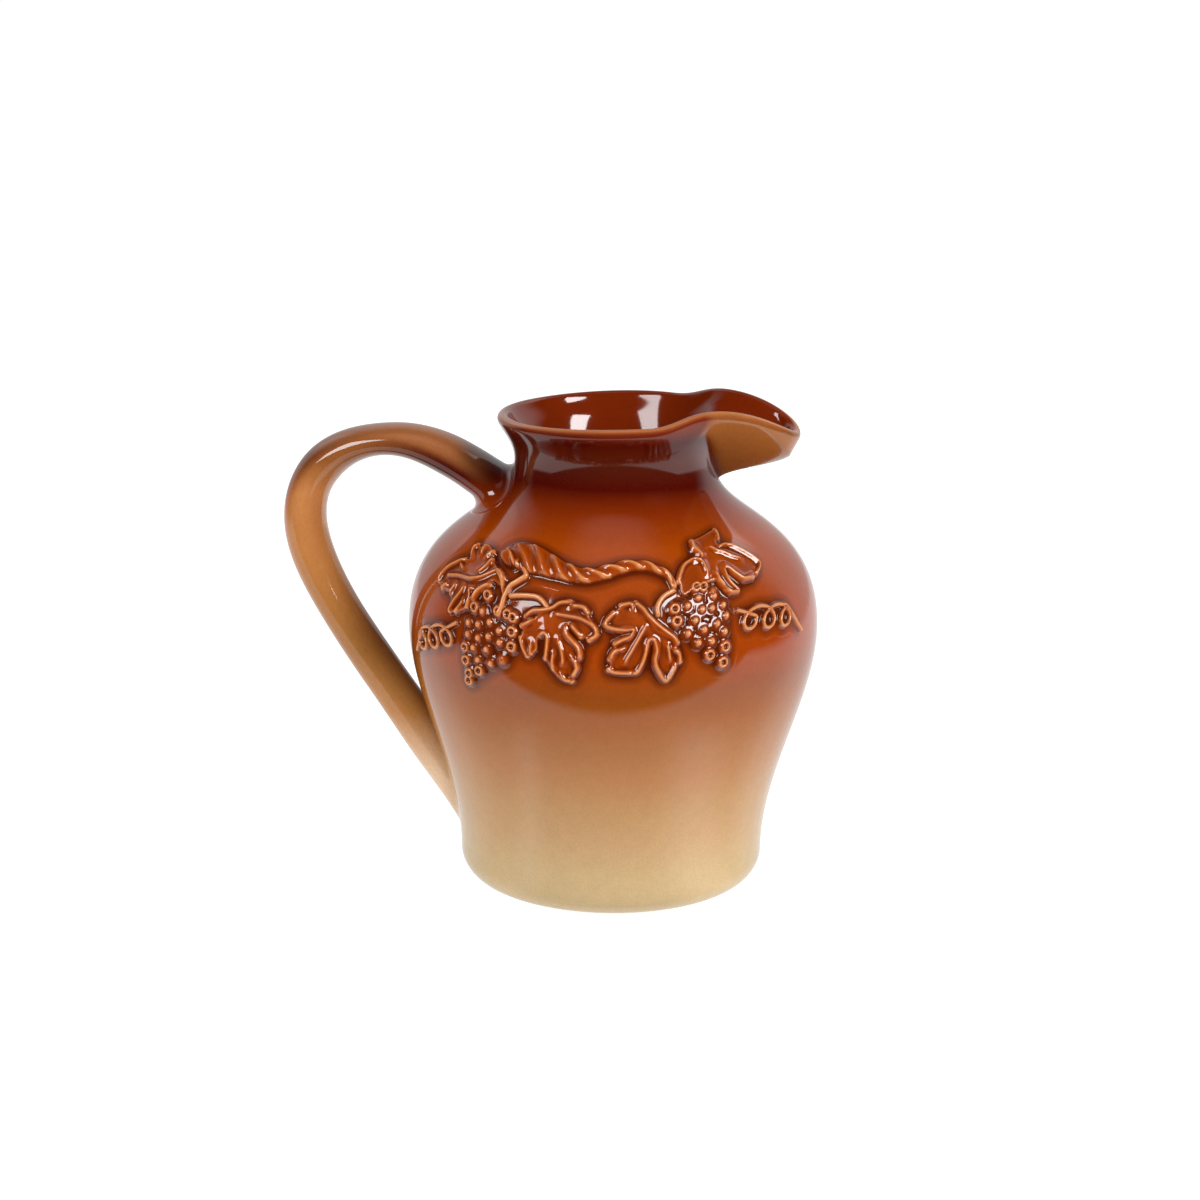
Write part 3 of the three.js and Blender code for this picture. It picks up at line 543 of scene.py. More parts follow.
def bare_clay():
    material, tree, shader = new_material("bare_clay")
    place = add_node(tree, "TexCoord").outputs["Object"]
    grain = noise(tree, place, CLAY_GRAIN, detail=4)
    low, high = (colour(*shade) for shade in CLAY_COLOURS)
    tree.links.new(blend_colour(tree, grain, low, high), shader.inputs["Base Color"])
    shader.inputs["Roughness"].default_value = CLAY_ROUGHNESS
    add_unevenness(tree, shader, grain, GRIT_STRENGTH, GRIT_HEIGHT)
    return material


vessel.data.materials.append(bare_clay())
for face in vessel.data.polygons:
    if face.center.z < BASE_TOP * MM and face.center.xy.length < CLAY_RADIUS * MM:
        face.material_index = 1


# The handle. A pulled strap of clay, oval in section, pressed on at the neck and the lower wall while soft,
# with the joins smoothed out into the wall all round. It carries the same two glazes.
HANDLE_TOP_HEIGHT = 108
CROWN_OUT = 60.8
CROWN_HEIGHT = 120.7
GRIP_OUT = 86.2
GRIP_HEIGHT = 98.3
HANDLE_FOOT_HEIGHT = 24
TOP_LEAN_OUT = 3
TOP_LEAN_UP = 2.4
CROWN_SWEEP_IN = 12.8
CROWN_SWEEP_OUT = 13.7
GRIP_SWEEP_UP = 14.3
GRIP_SWEEP_DOWN = 19.1
FOOT_LEAN = 32.6
FOOT_SWEEP = 34.6
STRAP_THICKNESS = [11.6, 10.8, 8.6, 11.2, 11.6, 11, 11.4, 12, 10.5]  # from the neck to the foot
STRAP_WIDTH = [23, 17.2, 16.4, 15, 13.2, 14.6]
ROOT_BURY = 6
ROOT_FILLET = 4.5
FOOT_FILLET = 2.2
STRAP_SAMPLES = 300  # places along each of the three curves of the strap's line
STRAP_SIDES = 64
STRAP_RINGS = 130
FILLET_RINGS = 8
SPARE_ENDS = 0.1  # share of the strap's length by which each end is drawn on into the wall
END_SEARCH = 0.3  # share of it within which the strap's skin has left the wall
SEARCH_PLACES = 400
SUNK = 0.5  # how deep the handle's ends reach under the glaze of the wall
BROWN_ENDS = (0.12, 0.34)  # how far down the strap the brown glaze starts to fade, and where it is gone
OUTER_BROWN = 0.5  # how much further down it runs on the outside of the loop
FOOT_BROWN = (0.86, 1)  # where some of it is back again, near the foot
FOOT_BARE = 0.35
CROWN_SIDE = (0.55, 0.25)  # the outer side of the loop, as shares of the way from its outside to its inside
CROWN_BEGINS = (0.045, 0.13)
CROWN_BARE = 0.22  # how much of the brown glaze missed the top of the crown
CROWN_THIN = 0.42  # and how far it broke to tan there
CROWN_THIN_ENDS = (0.4, 0.2)


def strap_line():
    """The middle of the strap from the neck to the foot: shares of its length, and places (out, up)."""
    heights = wall_place[:, 1]
    root_out = wall_place[np.argmax(heights >= HANDLE_TOP_HEIGHT)][0]
    foot_out = wall_place[np.argmax(heights >= HANDLE_FOOT_HEIGHT)][0]
    bury = ROOT_BURY / math.hypot(TOP_LEAN_OUT, TOP_LEAN_UP)
    slope = np.array([math.sin(math.radians(FOOT_LEAN)), math.cos(math.radians(FOOT_LEAN))])
    root = np.array([root_out, HANDLE_TOP_HEIGHT])
    lean = np.array([TOP_LEAN_OUT, TOP_LEAN_UP])
    crown = np.array([CROWN_OUT, CROWN_HEIGHT])
    grip = np.array([GRIP_OUT, GRIP_HEIGHT])
    foot = np.array([foot_out, HANDLE_FOOT_HEIGHT])
    t = np.linspace(0, 1, STRAP_SAMPLES)[:, None]
    line = np.concatenate([
        bezier(root - bury * lean, root + lean, crown - [CROWN_SWEEP_IN, 0], crown, t),
        bezier(crown, crown + [CROWN_SWEEP_OUT, 0], grip + [0, GRIP_SWEEP_UP], grip, t)[1:],
        bezier(grip, grip - [0, GRIP_SWEEP_DOWN], foot + FOOT_SWEEP * slope, foot - ROOT_BURY * slope, t)[1:],
    ])
    path = np.concatenate([[0], np.cumsum(np.hypot(*np.diff(line, axis=0).T))])
    share = path / path[-1]
    runs = np.gradient(line, share, axis=0)
    share = np.concatenate([[-SPARE_ENDS], share, [1 + SPARE_ENDS]])
    line = np.concatenate([line[:1] - SPARE_ENDS * runs[:1], line, line[-1:] + SPARE_ENDS * runs[-1:]])
    return share, line


strap_share, strap_place = strap_line()
strap_run = np.gradient(strap_place, strap_share, axis=0)
strap_run /= np.linalg.norm(strap_run, axis=1)[:, None]


def along(sizes, share):
    """A size that runs smoothly through a list as share goes from 0 to 1."""
    place = np.clip(share, 0, 1) * (len(sizes) - 1)
    low = np.minimum(place.astype(int), len(sizes) - 2)
    sizes = np.array(sizes)
    return mix(sizes[low], sizes[low + 1], smoothstep(0, 1, place - low))


def strap_surface(share, turn):
    """A place on the strap's skin. turn goes round its section, 0 on the outside of the loop."""
    share = np.asarray(share, float)
    out, height = (np.interp(share, strap_share, column) for column in strap_place.T)
    run_out, run_up = (np.interp(share, strap_share, column) for column in strap_run.T)
    thick = along(STRAP_THICKNESS, share) / 2 * np.cos(turn)
    wide = along(STRAP_WIDTH, share) / 2 * np.sin(turn)
    return np.stack([-(out - run_up * thick), -wide, height + run_out * thick], axis=-1)


def wall_gap(points):
    """Distance of places outside the jug's wall, and the wall's outward direction there."""
    radius = np.hypot(points[..., 0], points[..., 1])
    away = (radius[..., None] - wall_place[:, 0])**2 + (points[..., 2, None] - wall_place[:, 1])**2
    near = away.argmin(axis=-1)
    normal = wall_normal[near]
    gap_out = (radius - wall_place[near, 0]) * normal[..., 0]
    gap_up = (points[..., 2] - wall_place[near, 1]) * normal[..., 1]
    outward = np.stack([
        normal[..., 0] * points[..., 0] / radius, normal[..., 0] * points[..., 1] / radius, normal[..., 1],
    ], axis=-1)
    return gap_out + gap_up, outward


def joined_end(turns, shares, fillet):
    """Where each line of the strap's skin meets the wall, and the rings that flare it out onto the wall."""
    contact = []
    for turn in turns:
        gaps = wall_gap(strap_surface(shares, turn))[0]
        outside = np.argmax(gaps > 0)
        before = outside - 1
        t = gaps[before] / (gaps[before] - gaps[outside])
        contact.append(mix(shares[before], shares[outside], t))
    contact = np.array(contact)
    step = 1e-3 * np.sign(shares[-1] - shares[0])
    places = strap_surface(contact, turns)
    leaving = strap_surface(contact + step, turns) - places
    speed = np.linalg.norm(leaving, axis=1)
    leaving /= speed[:, None]
    outward = wall_gap(places)[1]
    spread = places - places.mean(axis=0)
    spread -= outward * (spread * outward).sum(axis=1)[:, None]
    spread /= np.linalg.norm(spread, axis=1)[:, None]
    rings = []
    for turn in np.linspace(0, math.pi / 2, FILLET_RINGS):
        on_tangent = places + spread * fillet * (1 - math.sin(turn))
        ring = on_tangent - outward * wall_gap(on_tangent)[0][:, None]
        rings.append(ring + leaving * fillet * (1 - math.cos(turn)))
    buried = rings[0] - outward * SUNK - spread * SUNK
    start = contact + step * fillet / speed
    return start, [buried, *rings]


def strap_glaze(down, inner):
    """How bare of brown glaze and how thinly glazed the strap is, by the shares of the way from its neck end
    to its foot and from the outside of the loop to its inside."""
    lower = smoothstep(*BROWN_ENDS, down + OUTER_BROWN * min(inner - 0.5, 0))
    lower *= mix(1, FOOT_BARE, smoothstep(*FOOT_BROWN, down))
    crown = smoothstep(*CROWN_SIDE, inner) * smoothstep(*CROWN_BEGINS, down)
    bare = max(lower, CROWN_BARE * crown)
    thin = CROWN_THIN * crown * smoothstep(*CROWN_THIN_ENDS, down)
    return float(bare), float(thin)


def pull_handle():
    """Draws the strap ring by ring from its join at the neck to its join at the foot."""
    turns = np.linspace(0, math.tau, STRAP_SIDES, endpoint=False)
    search = np.linspace(-SPARE_ENDS, END_SEARCH, SEARCH_PLACES)
    root_start, root_rings = joined_end(turns, search, ROOT_FILLET)
    foot_start, foot_rings = joined_end(turns, 1 - search, FOOT_FILLET)
    shares = np.linspace(0, 1, STRAP_RINGS)[1:-1]
    middle = [strap_surface(mix(root_start, foot_start, share), turns) for share in shares]
    rings = [*root_rings, *middle, *reversed(foot_rings)]
    bm = bmesh.new()
    side_layer = bm.verts.layers.int.new("side")
    bare_layer = bm.verts.layers.float.new("bare")
    thin_layer = bm.verts.layers.float.new("thin")
    bmesh.ops.create_circle(bm, segments=STRAP_SIDES, radius=1)
    for side, vert in enumerate(bm.verts):
        vert[side_layer] = side
        vert.co = rings[0][side]
    edges = list(bm.edges)
    bmesh.ops.contextual_create(bm, geom=edges)
    for number, ring in enumerate(rings[1:], 1):
        drawn = bmesh.ops.extrude_edge_only(bm, edges=edges)["geom"]
        new_verts = {part for part in drawn if isinstance(part, bmesh.types.BMVert)}
        edges = [
            part for part in drawn if isinstance(part, bmesh.types.BMEdge) and set(part.verts) <= new_verts
        ]
        for vert in new_verts:
            side = vert[side_layer]
            inner = (1 - math.cos(turns[side])) / 2
            vert[bare_layer], vert[thin_layer] = strap_glaze(number / len(rings), inner)
            vert.co = ring[side]
    bmesh.ops.contextual_create(bm, geom=edges)
    bmesh.ops.recalc_face_normals(bm, faces=bm.faces)
    return bm


handle = finished_piece(pull_handle(), "strap_handle", glaze("handle_glaze"))
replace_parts(handle, "handle")


# The sprigs. Each leaf, bunch, stem, branch and tendril is pressed out of a plaster mould in soft clay and
# stuck to the wall with slip before glazing. The glaze runs off their ridges and pools round their edges, and
# painted shade darkens the wall round them and their hollows.
# Places on a garland are [around, up] along the wall, from the garland's middle and from the belly line.
GARLAND_ANGLE = -84
SPRIG_STEP = 0.2  # fineness of a sprig's skin
SPRIG_SOFTNESS = 0.14  # how far the glaze rounds a sprig's edges
POOL_REACH = 1.5  # how far the pooled glaze and the painted shade beside a sprig reach round it
FILM = 0.012  # height of that pooled glaze
FILLET = 0.4  # how high it creeps up the sprig's side
FILM_EDGE = 0.04  # the cover below which the film sinks into the wall
FILM_DIP = 0.06
COVER_ENDS = 0.002  # the cover below which the wall is left as it is
SPRIG_SUNK = 0.4
SPRIG_MARGIN = 4.4  # how far round a sprig its box reaches
RIDGE_REACH = 0.45
RIDGE_THINS = (0.08, 0.27)  # how far a ridge stands out where its glaze begins to thin, and where it is thin
TOP_THINS = (0.6, 1.1)  # and how high it has to be for that
POOL_SHADES = [(0.4, 0, 0.12), (0.6, 0.08, 0.4)]  # share of the painted shade, and between which covers it comes
POOL_TOP = (1.0, 0.4)
# Painted shade, mixed with the darker pooled glaze: how dark it is drawn beside a sprig, and in its hollows
POOL_AND_SHADE_DARK = 0.85
HOLLOW_SINKS = (0, 0.12)  # how far a hollow lies back where its painted shade begins, and where it is darkest
HOLLOW_TOP = (0.3, 0.8)
HOLLOW_SHADE_DARK = 0.75

sprig_glaze = glaze("sprig_glaze")


def soften(heights, reach):
    """Blurs a grid of heights over about that many millimetres."""
    cells = max(1, math.ceil(3 * reach / SPRIG_STEP))
    offsets = np.arange(-cells, cells + 1)
    weights = np.exp(-0.5 * (offsets * SPRIG_STEP / reach)**2)
    weights /= weights.sum()
    for axis in (0, 1):
        padded = np.pad(heights, [(cells, cells) if axis == a else (0, 0) for a in (0, 1)], mode="edge")
        length = heights.shape[axis]
        heights = sum(
            weight * padded.take(range(i, i + length), axis=axis) for i, weight in enumerate(weights)
        )
    return heights


def smooth_route(route, step=0.5, closed=False):
    """Close places along a smooth curve through a route's places."""
    route = [np.array(place, float) for place in route]
    count = len(route)
    places = []
    for i in range(count if closed else count - 1):
        before, start, end, after = (
            route[(i + k) % count] if closed else route[min(max(i + k, 0), count - 1)] for k in (-1, 0, 1, 2)
        )
        steps = max(2, math.ceil(np.linalg.norm(end - start) / step))
        t = np.arange(steps)[:, None] / steps
        places.append(bezier(start, start + (end - before) / 6, end - (after - start) / 6, end, t))
    if not closed:
        places.append(route[-1][None])
    return np.concatenate(places)


def distance_to(grid, route):
    """Distance of each place of a grid to a route, how far along the route that is, and to which side."""
    along_route = np.concatenate([[0], np.cumsum(np.linalg.norm(np.diff(route, axis=0), axis=1))])
    best = np.full(grid.shape[:-1], np.inf)
    path = np.zeros_like(best)
    side = np.zeros_like(best)
    for i in range(len(route) - 1):
        run = route[i + 1] - route[i]
        length = np.linalg.norm(run)
        if length == 0:
            continue
        run = run / length
        offset = grid - route[i]
        t = np.clip(offset @ run, 0, length)
        away = np.linalg.norm(offset - t[..., None] * run, axis=-1)
        closer = away < best
        best = np.where(closer, away, best)
        path = np.where(closer, along_route[i] + t, path)
        side = np.where(closer, offset @ np.array([-run[1], run[0]]), side)
    return best, path, side, along_route[-1]


def depth_inside(grid, outline):
    """Distance of each place of a grid inside a closed outline, below 0 outside it."""
    closed = np.vstack([outline, outline[:1]])
    away = distance_to(grid, closed)[0]
    inside = np.zeros(grid.shape[:-1], bool)
    for (x0, y0), (x1, y1) in zip(closed[:-1], closed[1:]):
        crosses = (y0 > grid[..., 1]) != (y1 > grid[..., 1])
        at = x0 + (grid[..., 1] - y0) * (x1 - x0) / (y1 - y0 if y1 != y0 else 1)
        inside ^= crosses & (grid[..., 0] < at)
    return np.where(inside, away, -away)


def bead(distance, radius):
    """Height share of a soft round ridge, 1 on its middle line."""
    return np.exp(-(distance / radius)**2)


def box_round(places, margin):
    """The lowest and highest corner of a box that holds places with room to spare."""
    places = np.array(places, float)
    return places.min(axis=0) - margin, places.max(axis=0) + margin


def glazed_relief(height):
    """A relief's height under its glaze, how closely it covers each place, where it thins, and where it is
    drawn
    darker beside it and in its hollows: partly pooled glaze, partly painted shade.
    """
    cover = soften(np.minimum(height, 1), POOL_REACH)
    ridge = height - soften(height, RIDGE_REACH)
    thin = smoothstep(*RIDGE_THINS, ridge) * smoothstep(*TOP_THINS, height)
    # Painted shade, with the darker pooled glaze: beside the relief and in its hollows
    beside = sum(share * smoothstep(low, high, cover) for share, low, high in POOL_SHADES)
    beside *= smoothstep(*POOL_TOP, height)
    hollow = smoothstep(*HOLLOW_SINKS, -ridge) * smoothstep(*HOLLOW_TOP, height)
    pool_and_shade = np.maximum(POOL_AND_SHADE_DARK * beside, HOLLOW_SHADE_DARK * hollow)
    film = FILM + FILLET * cover**1.5 - FILM_DIP * smoothstep(FILM_EDGE, 0, cover)
    height = np.where(film > 0, np.cbrt(height**3 + np.maximum(film, 0)**3), film)
    return height, cover, thin, pool_and_shade


def wrap_on_wall(bm):
    """Lays a relief, flat so far and with its height along Z, on the front of the jug's wall."""
    flat = np.array([vert.co for vert in bm.verts])
    radius, up, normal_out, normal_up = on_wall(flat[:, 1])
    angle = math.radians(GARLAND_ANGLE) + flat[:, 0] / radius
    radius = radius + flat[:, 2] * normal_out
    up = up + flat[:, 2] * normal_up
    for vert, place in zip(bm.verts, np.stack([radius * np.cos(angle), radius * np.sin(angle), up], axis=1)):
        vert.co = place


def stick_front_and_back(bm, name):
    """Puts a sprig on the front of the jug, and its copy half a turn away on the back."""
    front = finished_piece(bm, f"{name}_front_sprig", sprig_glaze)
    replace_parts(front, f"{name}_front")
    back = front.copy()
    back.name = f"{name}_back_sprig"
    back.data = front.data.copy()
    back.data.transform(Matrix.Rotation(math.pi, 4, "Z"))
    bpy.context.scene.collection.objects.link(back)
    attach(back, "root")
    back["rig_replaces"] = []
    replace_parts(back, f"{name}_back")


def press_sprig(name, relief, places, spare=0):
    """One sprig: its relief over the box round its places, with the glaze pooled round it and painted shade
    beside it and in its hollows.
    """
    low, high = box_round(places, SPRIG_MARGIN + spare)
    counts = [math.ceil((high[i] - low[i]) / SPRIG_STEP) for i in (0, 1)]
    xs = np.linspace(low[0], high[0], counts[0] + 1)
    ys = np.linspace(low[1], high[1], counts[1] + 1)
    grid = np.stack(np.meshgrid(xs, ys), axis=-1)
    pressed = soften(np.maximum(relief(grid), 0), SPRIG_SOFTNESS)
    height, cover, thin, pool_and_shade = glazed_relief(pressed)
    bm = bmesh.new()
    thin_layer = bm.verts.layers.float.new("thin")
    # the pooled glaze's dark together with the painted shade, read by the glaze
    pool_and_shade_layer = bm.verts.layers.float.new("pool_and_shade")
    bmesh.ops.create_grid(bm, x_segments=counts[0], y_segments=counts[1], size=1)
    bare_wall = []
    for vert in bm.verts:
        column = round((vert.co.x + 1) / 2 * counts[0])
        row = round((vert.co.y + 1) / 2 * counts[1])
        vert.co = (xs[column], ys[row], height[row, column])
        vert[thin_layer] = thin[row, column]
        vert[pool_and_shade_layer] = pool_and_shade[row, column]
        if cover[row, column] < COVER_ENDS:
            bare_wall.append(vert)
    bmesh.ops.delete(bm, geom=bare_wall, context="VERTS")
    under = bmesh.ops.extrude_face_region(bm, geom=bm.faces, use_keep_orig=True)["geom"]
    for vert in (part for part in under if isinstance(part, bmesh.types.BMVert)):
        vert.co.z = -SPRIG_SUNK
    bmesh.ops.recalc_face_normals(bm, faces=bm.faces)
    wrap_on_wall(bm)
    stick_front_and_back(bm, name)


# The vine leaves. Four thin leaves with lobed edges, folded between the veins. Each vein and fold stands up
# as a soft ridge, and the clay between is pressed hollow.
LEAF_HOLLOW = 0.75
LEAF_RISE = 0.4
LEAF_COVERS = (-0.3, 0.5)  # depth inside the outline where the leaf begins, and where it has its full height
RIM_HEIGHT = 0.18
RIM_DEPTH = 0.5  # how far inside the outline the rim stands
RIM_WIDTH = 0.4
FOLD_HEIGHT = 0.62
FOLD_WIDTH = 0.37
FOLD_SWELL = 1.2  # reach of the broad swell under a fold
SWELL_COVERS = (0.3, 0.75)
FOLD_TAPER = (-0.6, 0.9)  # distance from a fold's end where its ridge begins, and where it is whole
LEAF_HEART = 0.4
HEART_WIDTH = 3
LEAVES = {
    "outer_left_leaf": {
        "outline": [
            (-27.9, 19.9), (-28.2, 23), (-29.8, 25.1), (-32.4, 27.5), (-32.9, 29.9), (-35.5, 31.7),
            (-38.2, 30.4), (-41.7, 29.6), (-40.5, 26.7), (-45.2, 24.8), (-50.8, 21.5), (-53.6, 17.3),
            (-49, 17.1), (-51.2, 15.8), (-46.6, 15.7), (-46.9, 11.1), (-43.2, 11.5), (-39.3, 13.3),
            (-38, 15.4), (-34, 19.2), (-31.1, 21.4),
        ],
        "heart": (-38.6, 21),
        "folds": [
            [(-53.1, 17.6), (-52, 19.5), (-49.3, 21.9), (-45.1, 24.3), (-43, 25.2)],
            [(-44.5, 23.9), (-42.8, 22.6)],
            [(-49.3, 19.8), (-43.8, 20.7), (-38.8, 20.8), (-35.4, 21.9), (-32.4, 23.6), (-29.9, 24.6),
             (-28.3, 22.9)],
            [(-36.6, 22.9), (-34.4, 25), (-32.7, 27.3)], [(-35, 27.6), (-32.9, 29.6)],
            [(-37.2, 28.2), (-36.2, 30.5)], [(-40.7, 26.4), (-40.7, 28.5), (-39.5, 30.3)],
            [(-46.3, 11.5), (-44.5, 14.3), (-42.1, 17), (-41.2, 18.5)],
            [(-43.8, 11.8), (-41.7, 13.9), (-41.2, 15.1)],
            [(-39.7, 13.9), (-38.7, 16.3), (-38.9, 18), (-37.4, 18.5)],
            [(-37.7, 16), (-35.9, 18.6), (-32.5, 20.5)], [(-46.7, 15.8), (-44.7, 18.5)],
            [(-51.1, 16.3), (-48.5, 17.7)],
        ],
    },
    "centre_left_leaf": {
        "outline": [
            (-14.9, 16.6), (-11.7, 18.6), (-8.8, 18.6), (-5.5, 17.4), (-3.2, 14), (-2.1, 11.5),
            (-3.8, 9.2), (-6.3, 10), (-8.4, 12.2), (-10, 12.1), (-10, 10.1), (-7.5, 8.3), (-6.4, 6.2),
            (-6.9, 3.3), (-7.4, 0.7), (-9.5, -1.9), (-11.7, -1.1), (-13.7, 1.1), (-15.4, 3.9),
            (-15.2, 6.5), (-15.1, 9.2), (-16.4, 9.9), (-17.3, 8.2), (-17.5, 5.7), (-19.8, 4.4),
            (-21.5, 6.5), (-22.2, 8.8), (-21.4, 11.4), (-19, 13.6), (-17, 15.6),
        ],
        "heart": (-16, 13.8),
        "folds": [
            [(-20.8, 14), (-18.9, 15.5), (-16.6, 15.9), (-13.7, 16.7), (-11.7, 18.1), (-9.2, 18.6)],
            [(-8.6, 17.5), (-5.9, 17.4), (-4.8, 16.2)],
            [(-12.9, 15.3), (-9.6, 15), (-6.7, 14.6), (-4.2, 13.5), (-2.6, 12.1), (-2.4, 10.5),
             (-4, 9.4)],
            [(-8.5, 12.5), (-7.4, 11.4), (-6.3, 10.2)],
            [(-10.2, 11.9), (-9.9, 10.5), (-8.4, 9), (-6.9, 7.4), (-6.4, 5.7), (-6.7, 4.7)],
            [(-12, 8.9), (-11.1, 6.6), (-10.7, 4.3), (-10.8, 3)],
            [(-16.8, 9.7), (-15.7, 10.4), (-14.8, 9.4), (-14.9, 6.9), (-15.2, 4.1)],
            [(-13.2, 5.4), (-13.4, 3.4), (-13, 1.6)],
            [(-8.3, 4.7), (-7.4, 3.4), (-7.2, 2), (-8.1, 0.3)],
            [(-11.2, 0.4), (-10.1, -0.8), (-8.5, -1.3)], [(-19.2, 7.3), (-19.4, 5)],
            [(-21.9, 11.5), (-19.2, 13.1)], [(-22.1, 8.4), (-21.4, 6.2), (-20.2, 4.3)],
        ],
    },
    "centre_right_leaf": {
        "outline": [
            (6.8, 18.7), (9, 17.4), (10.8, 15.3), (13.1, 12.4), (15.6, 10.8), (17.7, 9.1), (18.8, 6.8),
            (19.2, 4.3), (18.3, 1.7), (16.6, -0.8), (15, -0.8), (13.4, 1.2), (12.5, 3.6), (12.9, 6.2),
            (13, 8.1), (11.6, 9.4), (10.5, 8.3), (10.7, 6.3), (10.1, 3.8), (8.9, 2.1), (7.1, 1.1),
            (4.1, 0.9), (1.8, 0.6), (1, 2.3), (1.2, 4.4), (2.4, 6.4), (1.9, 8.1), (3.7, 9.8),
            (6.1, 10.1), (7.1, 11.4), (5.7, 12.2), (2.7, 11.8), (0.4, 12.4), (0, 13.8), (1.6, 16.2),
            (3.5, 18), (5.6, 18.6),
        ],
        "heart": (10.2, 14),
        "folds": [
            [(1.9, 16.1), (0.4, 14.4), (0.1, 13), (2.6, 12.1), (5.3, 11.9), (6.9, 11.9), (6.4, 10.5),
             (4.5, 9.6), (2.6, 8.6)],
            [(3.8, 18.1), (6.2, 18.4), (6.8, 16.7)],
            [(7.3, 18.7), (9.2, 17.2), (10.6, 15.4), (12.6, 13.4), (14.9, 11.6), (17.2, 9.9),
             (18.3, 8.4)],
            [(1.3, 4.7), (2.4, 6.7), (4.5, 7.2)], [(9.9, 12.7), (7.5, 8.3), (4.9, 3.9)],
            [(6.8, 1.2), (8.2, 1.6), (9.5, 4.4), (10.3, 7.1), (11, 9.3), (12.2, 9.3), (13, 7),
             (12.6, 4.3), (13.4, 1.7), (15.4, -1), (17.3, 1.7), (17.6, 2.9)],
            [(17.2, 6.8), (18.7, 5.6), (19, 3.6)], [(1.1, 1.9), (3.5, 1.3), (6.8, 1.2)],
            [(15.8, 8), (16.4, 4.1)],
        ],
    },
    "outer_right_leaf": {
        "outline": [
            (19.9, 20), (18.5, 24), (19.3, 27.7), (21.2, 29.6), (23.4, 29.8), (24.9, 31.3),
            (22.3, 34.9), (22.2, 36.2), (25.1, 37.4), (28.9, 38.7), (30.5, 37.4), (30.5, 34.6),
            (31.7, 33.1), (36, 32.6), (40.2, 29.9), (43.7, 26.8), (45.2, 24.6), (44, 22.9),
            (40.8, 22.5), (37.9, 22.3), (34.4, 25.5), (32.2, 26.9), (31.4, 25.6), (33.5, 22.2),
            (36, 19.7), (33.7, 19.5), (31, 21.5), (28.6, 22.9), (25.4, 22.2), (22.9, 21.4),
        ],
        "heart": (29.2, 25.8),
        "folds": [
            [(18.5, 23.9), (18.8, 25.7), (19.6, 27.9), (20.7, 29.1), (22.9, 30), (25, 29), (26, 26.8),
             (26.6, 25.5)],
            [(22.2, 36), (22.8, 33.8), (24.2, 32.2), (25.2, 30.8)],
            [(29.9, 38.4), (30.7, 36.6), (30.8, 35.7)],
            [(27.5, 33.3), (29.9, 31.6), (31.9, 30.8), (34.5, 29.3), (37.9, 27.8)],
            [(30.9, 32.7), (33, 33), (35.9, 31.8), (40.3, 29), (43.9, 26.6), (45, 24.8), (43.4, 23.2)],
            [(31.9, 26.8), (33.6, 25.7), (36.1, 23.7), (38.4, 22.3), (41.9, 22.3)],
            [(31.6, 26.2), (32.6, 23.4), (34.5, 21), (36.1, 19.5), (33.8, 19.5), (32.2, 20.6)],
            [(28.9, 25.2), (30.3, 23), (31.8, 21.2)],
        ],
    },
}


def fold_relief(grid, folds):
    """How near each place of a grid is to a fold, from 0 to 1: a broad swell, and the sharp ridge on it."""
    swell = np.zeros(grid.shape[:-1])
    ridge = np.zeros(grid.shape[:-1])
    for fold in folds:
        away, path, _, length = distance_to(grid, smooth_route(fold))
        taper = smoothstep(*FOLD_TAPER, np.minimum(path, length - path))
        swell = np.maximum(swell, bead(away, FOLD_SWELL))
        ridge = np.maximum(ridge, bead(away, FOLD_WIDTH) * taper)
    return swell, ridge


def leaf_relief(leaf):
    outline = smooth_route(leaf["outline"], closed=True)

    def relief(grid):
        depth = depth_inside(grid, outline)
        swell, ridge = fold_relief(grid, leaf["folds"])
        covered = np.maximum(smoothstep(*LEAF_COVERS, depth), smoothstep(*SWELL_COVERS, swell))
        heart = bead(np.linalg.norm(grid - leaf["heart"], axis=-1), HEART_WIDTH)
        rim = bead(depth - RIM_DEPTH, RIM_WIDTH)
        body = LEAF_HOLLOW + LEAF_RISE * swell + LEAF_HEART * heart + RIM_HEIGHT * rim
        return covered * (body + FOLD_HEIGHT * ridge)

    return relief


for leaf_name, leaf in LEAVES.items():
    press_sprig(leaf_name, leaf_relief(leaf), leaf["outline"])

# The vine branch. It is twisted like a rope, thick and gnarled at its left end and thin where it carries the
# right-hand stem.
BRANCH_ROUTE = [
    (-27.3, 29.6), (-23, 30.2), (-18.5, 29.6), (-14, 28.1), (-9.5, 26.7), (-5, 26.2), (-0.5, 27.3), (4, 29),
    (8.5, 29.4), (12.4, 28.2), (15.9, 25.8), (17.3, 22.8),
]
BRANCH_HALF_WIDTH = [3, 4.3, 4.5, 3.5, 2.7, 2.3, 2.1, 2, 1.7, 1.3, 1.1, 0.9]
BRANCH_HEIGHT = 2.2
BRANCH_BASE = 2.1  # half width from which on the branch has its full height
THIN_END_HEIGHT = 0.55  # share of it that a branch of no width would have
BRANCH_MARGIN = 3.4  # how much wider its box is than that of the other sprigs
TWIST_PITCH = 5
TWIST_SLANT = 2.6
TWIST_DEPTH = 0.5
TWIST_SHARPNESS = 1.5  # over 1, the strands are narrower than the grooves between them
TWIST_DIES_OUT = 0.3  # the smaller, the nearer the branch's sides the twist reaches
BARK_RIDGES = [  # the split bark at the thick end
    [(-28.4, 31.9), (-26.9, 33.3), (-24.2, 34.4), (-21.6, 34.6), (-19.2, 33.9)],
    [(-28, 31.4), (-26.1, 29.6), (-25.2, 26.6)], [(-25.9, 25.5), (-24.4, 26.7), (-24.1, 28.4)],
]
BARK_HEIGHT = 0.55


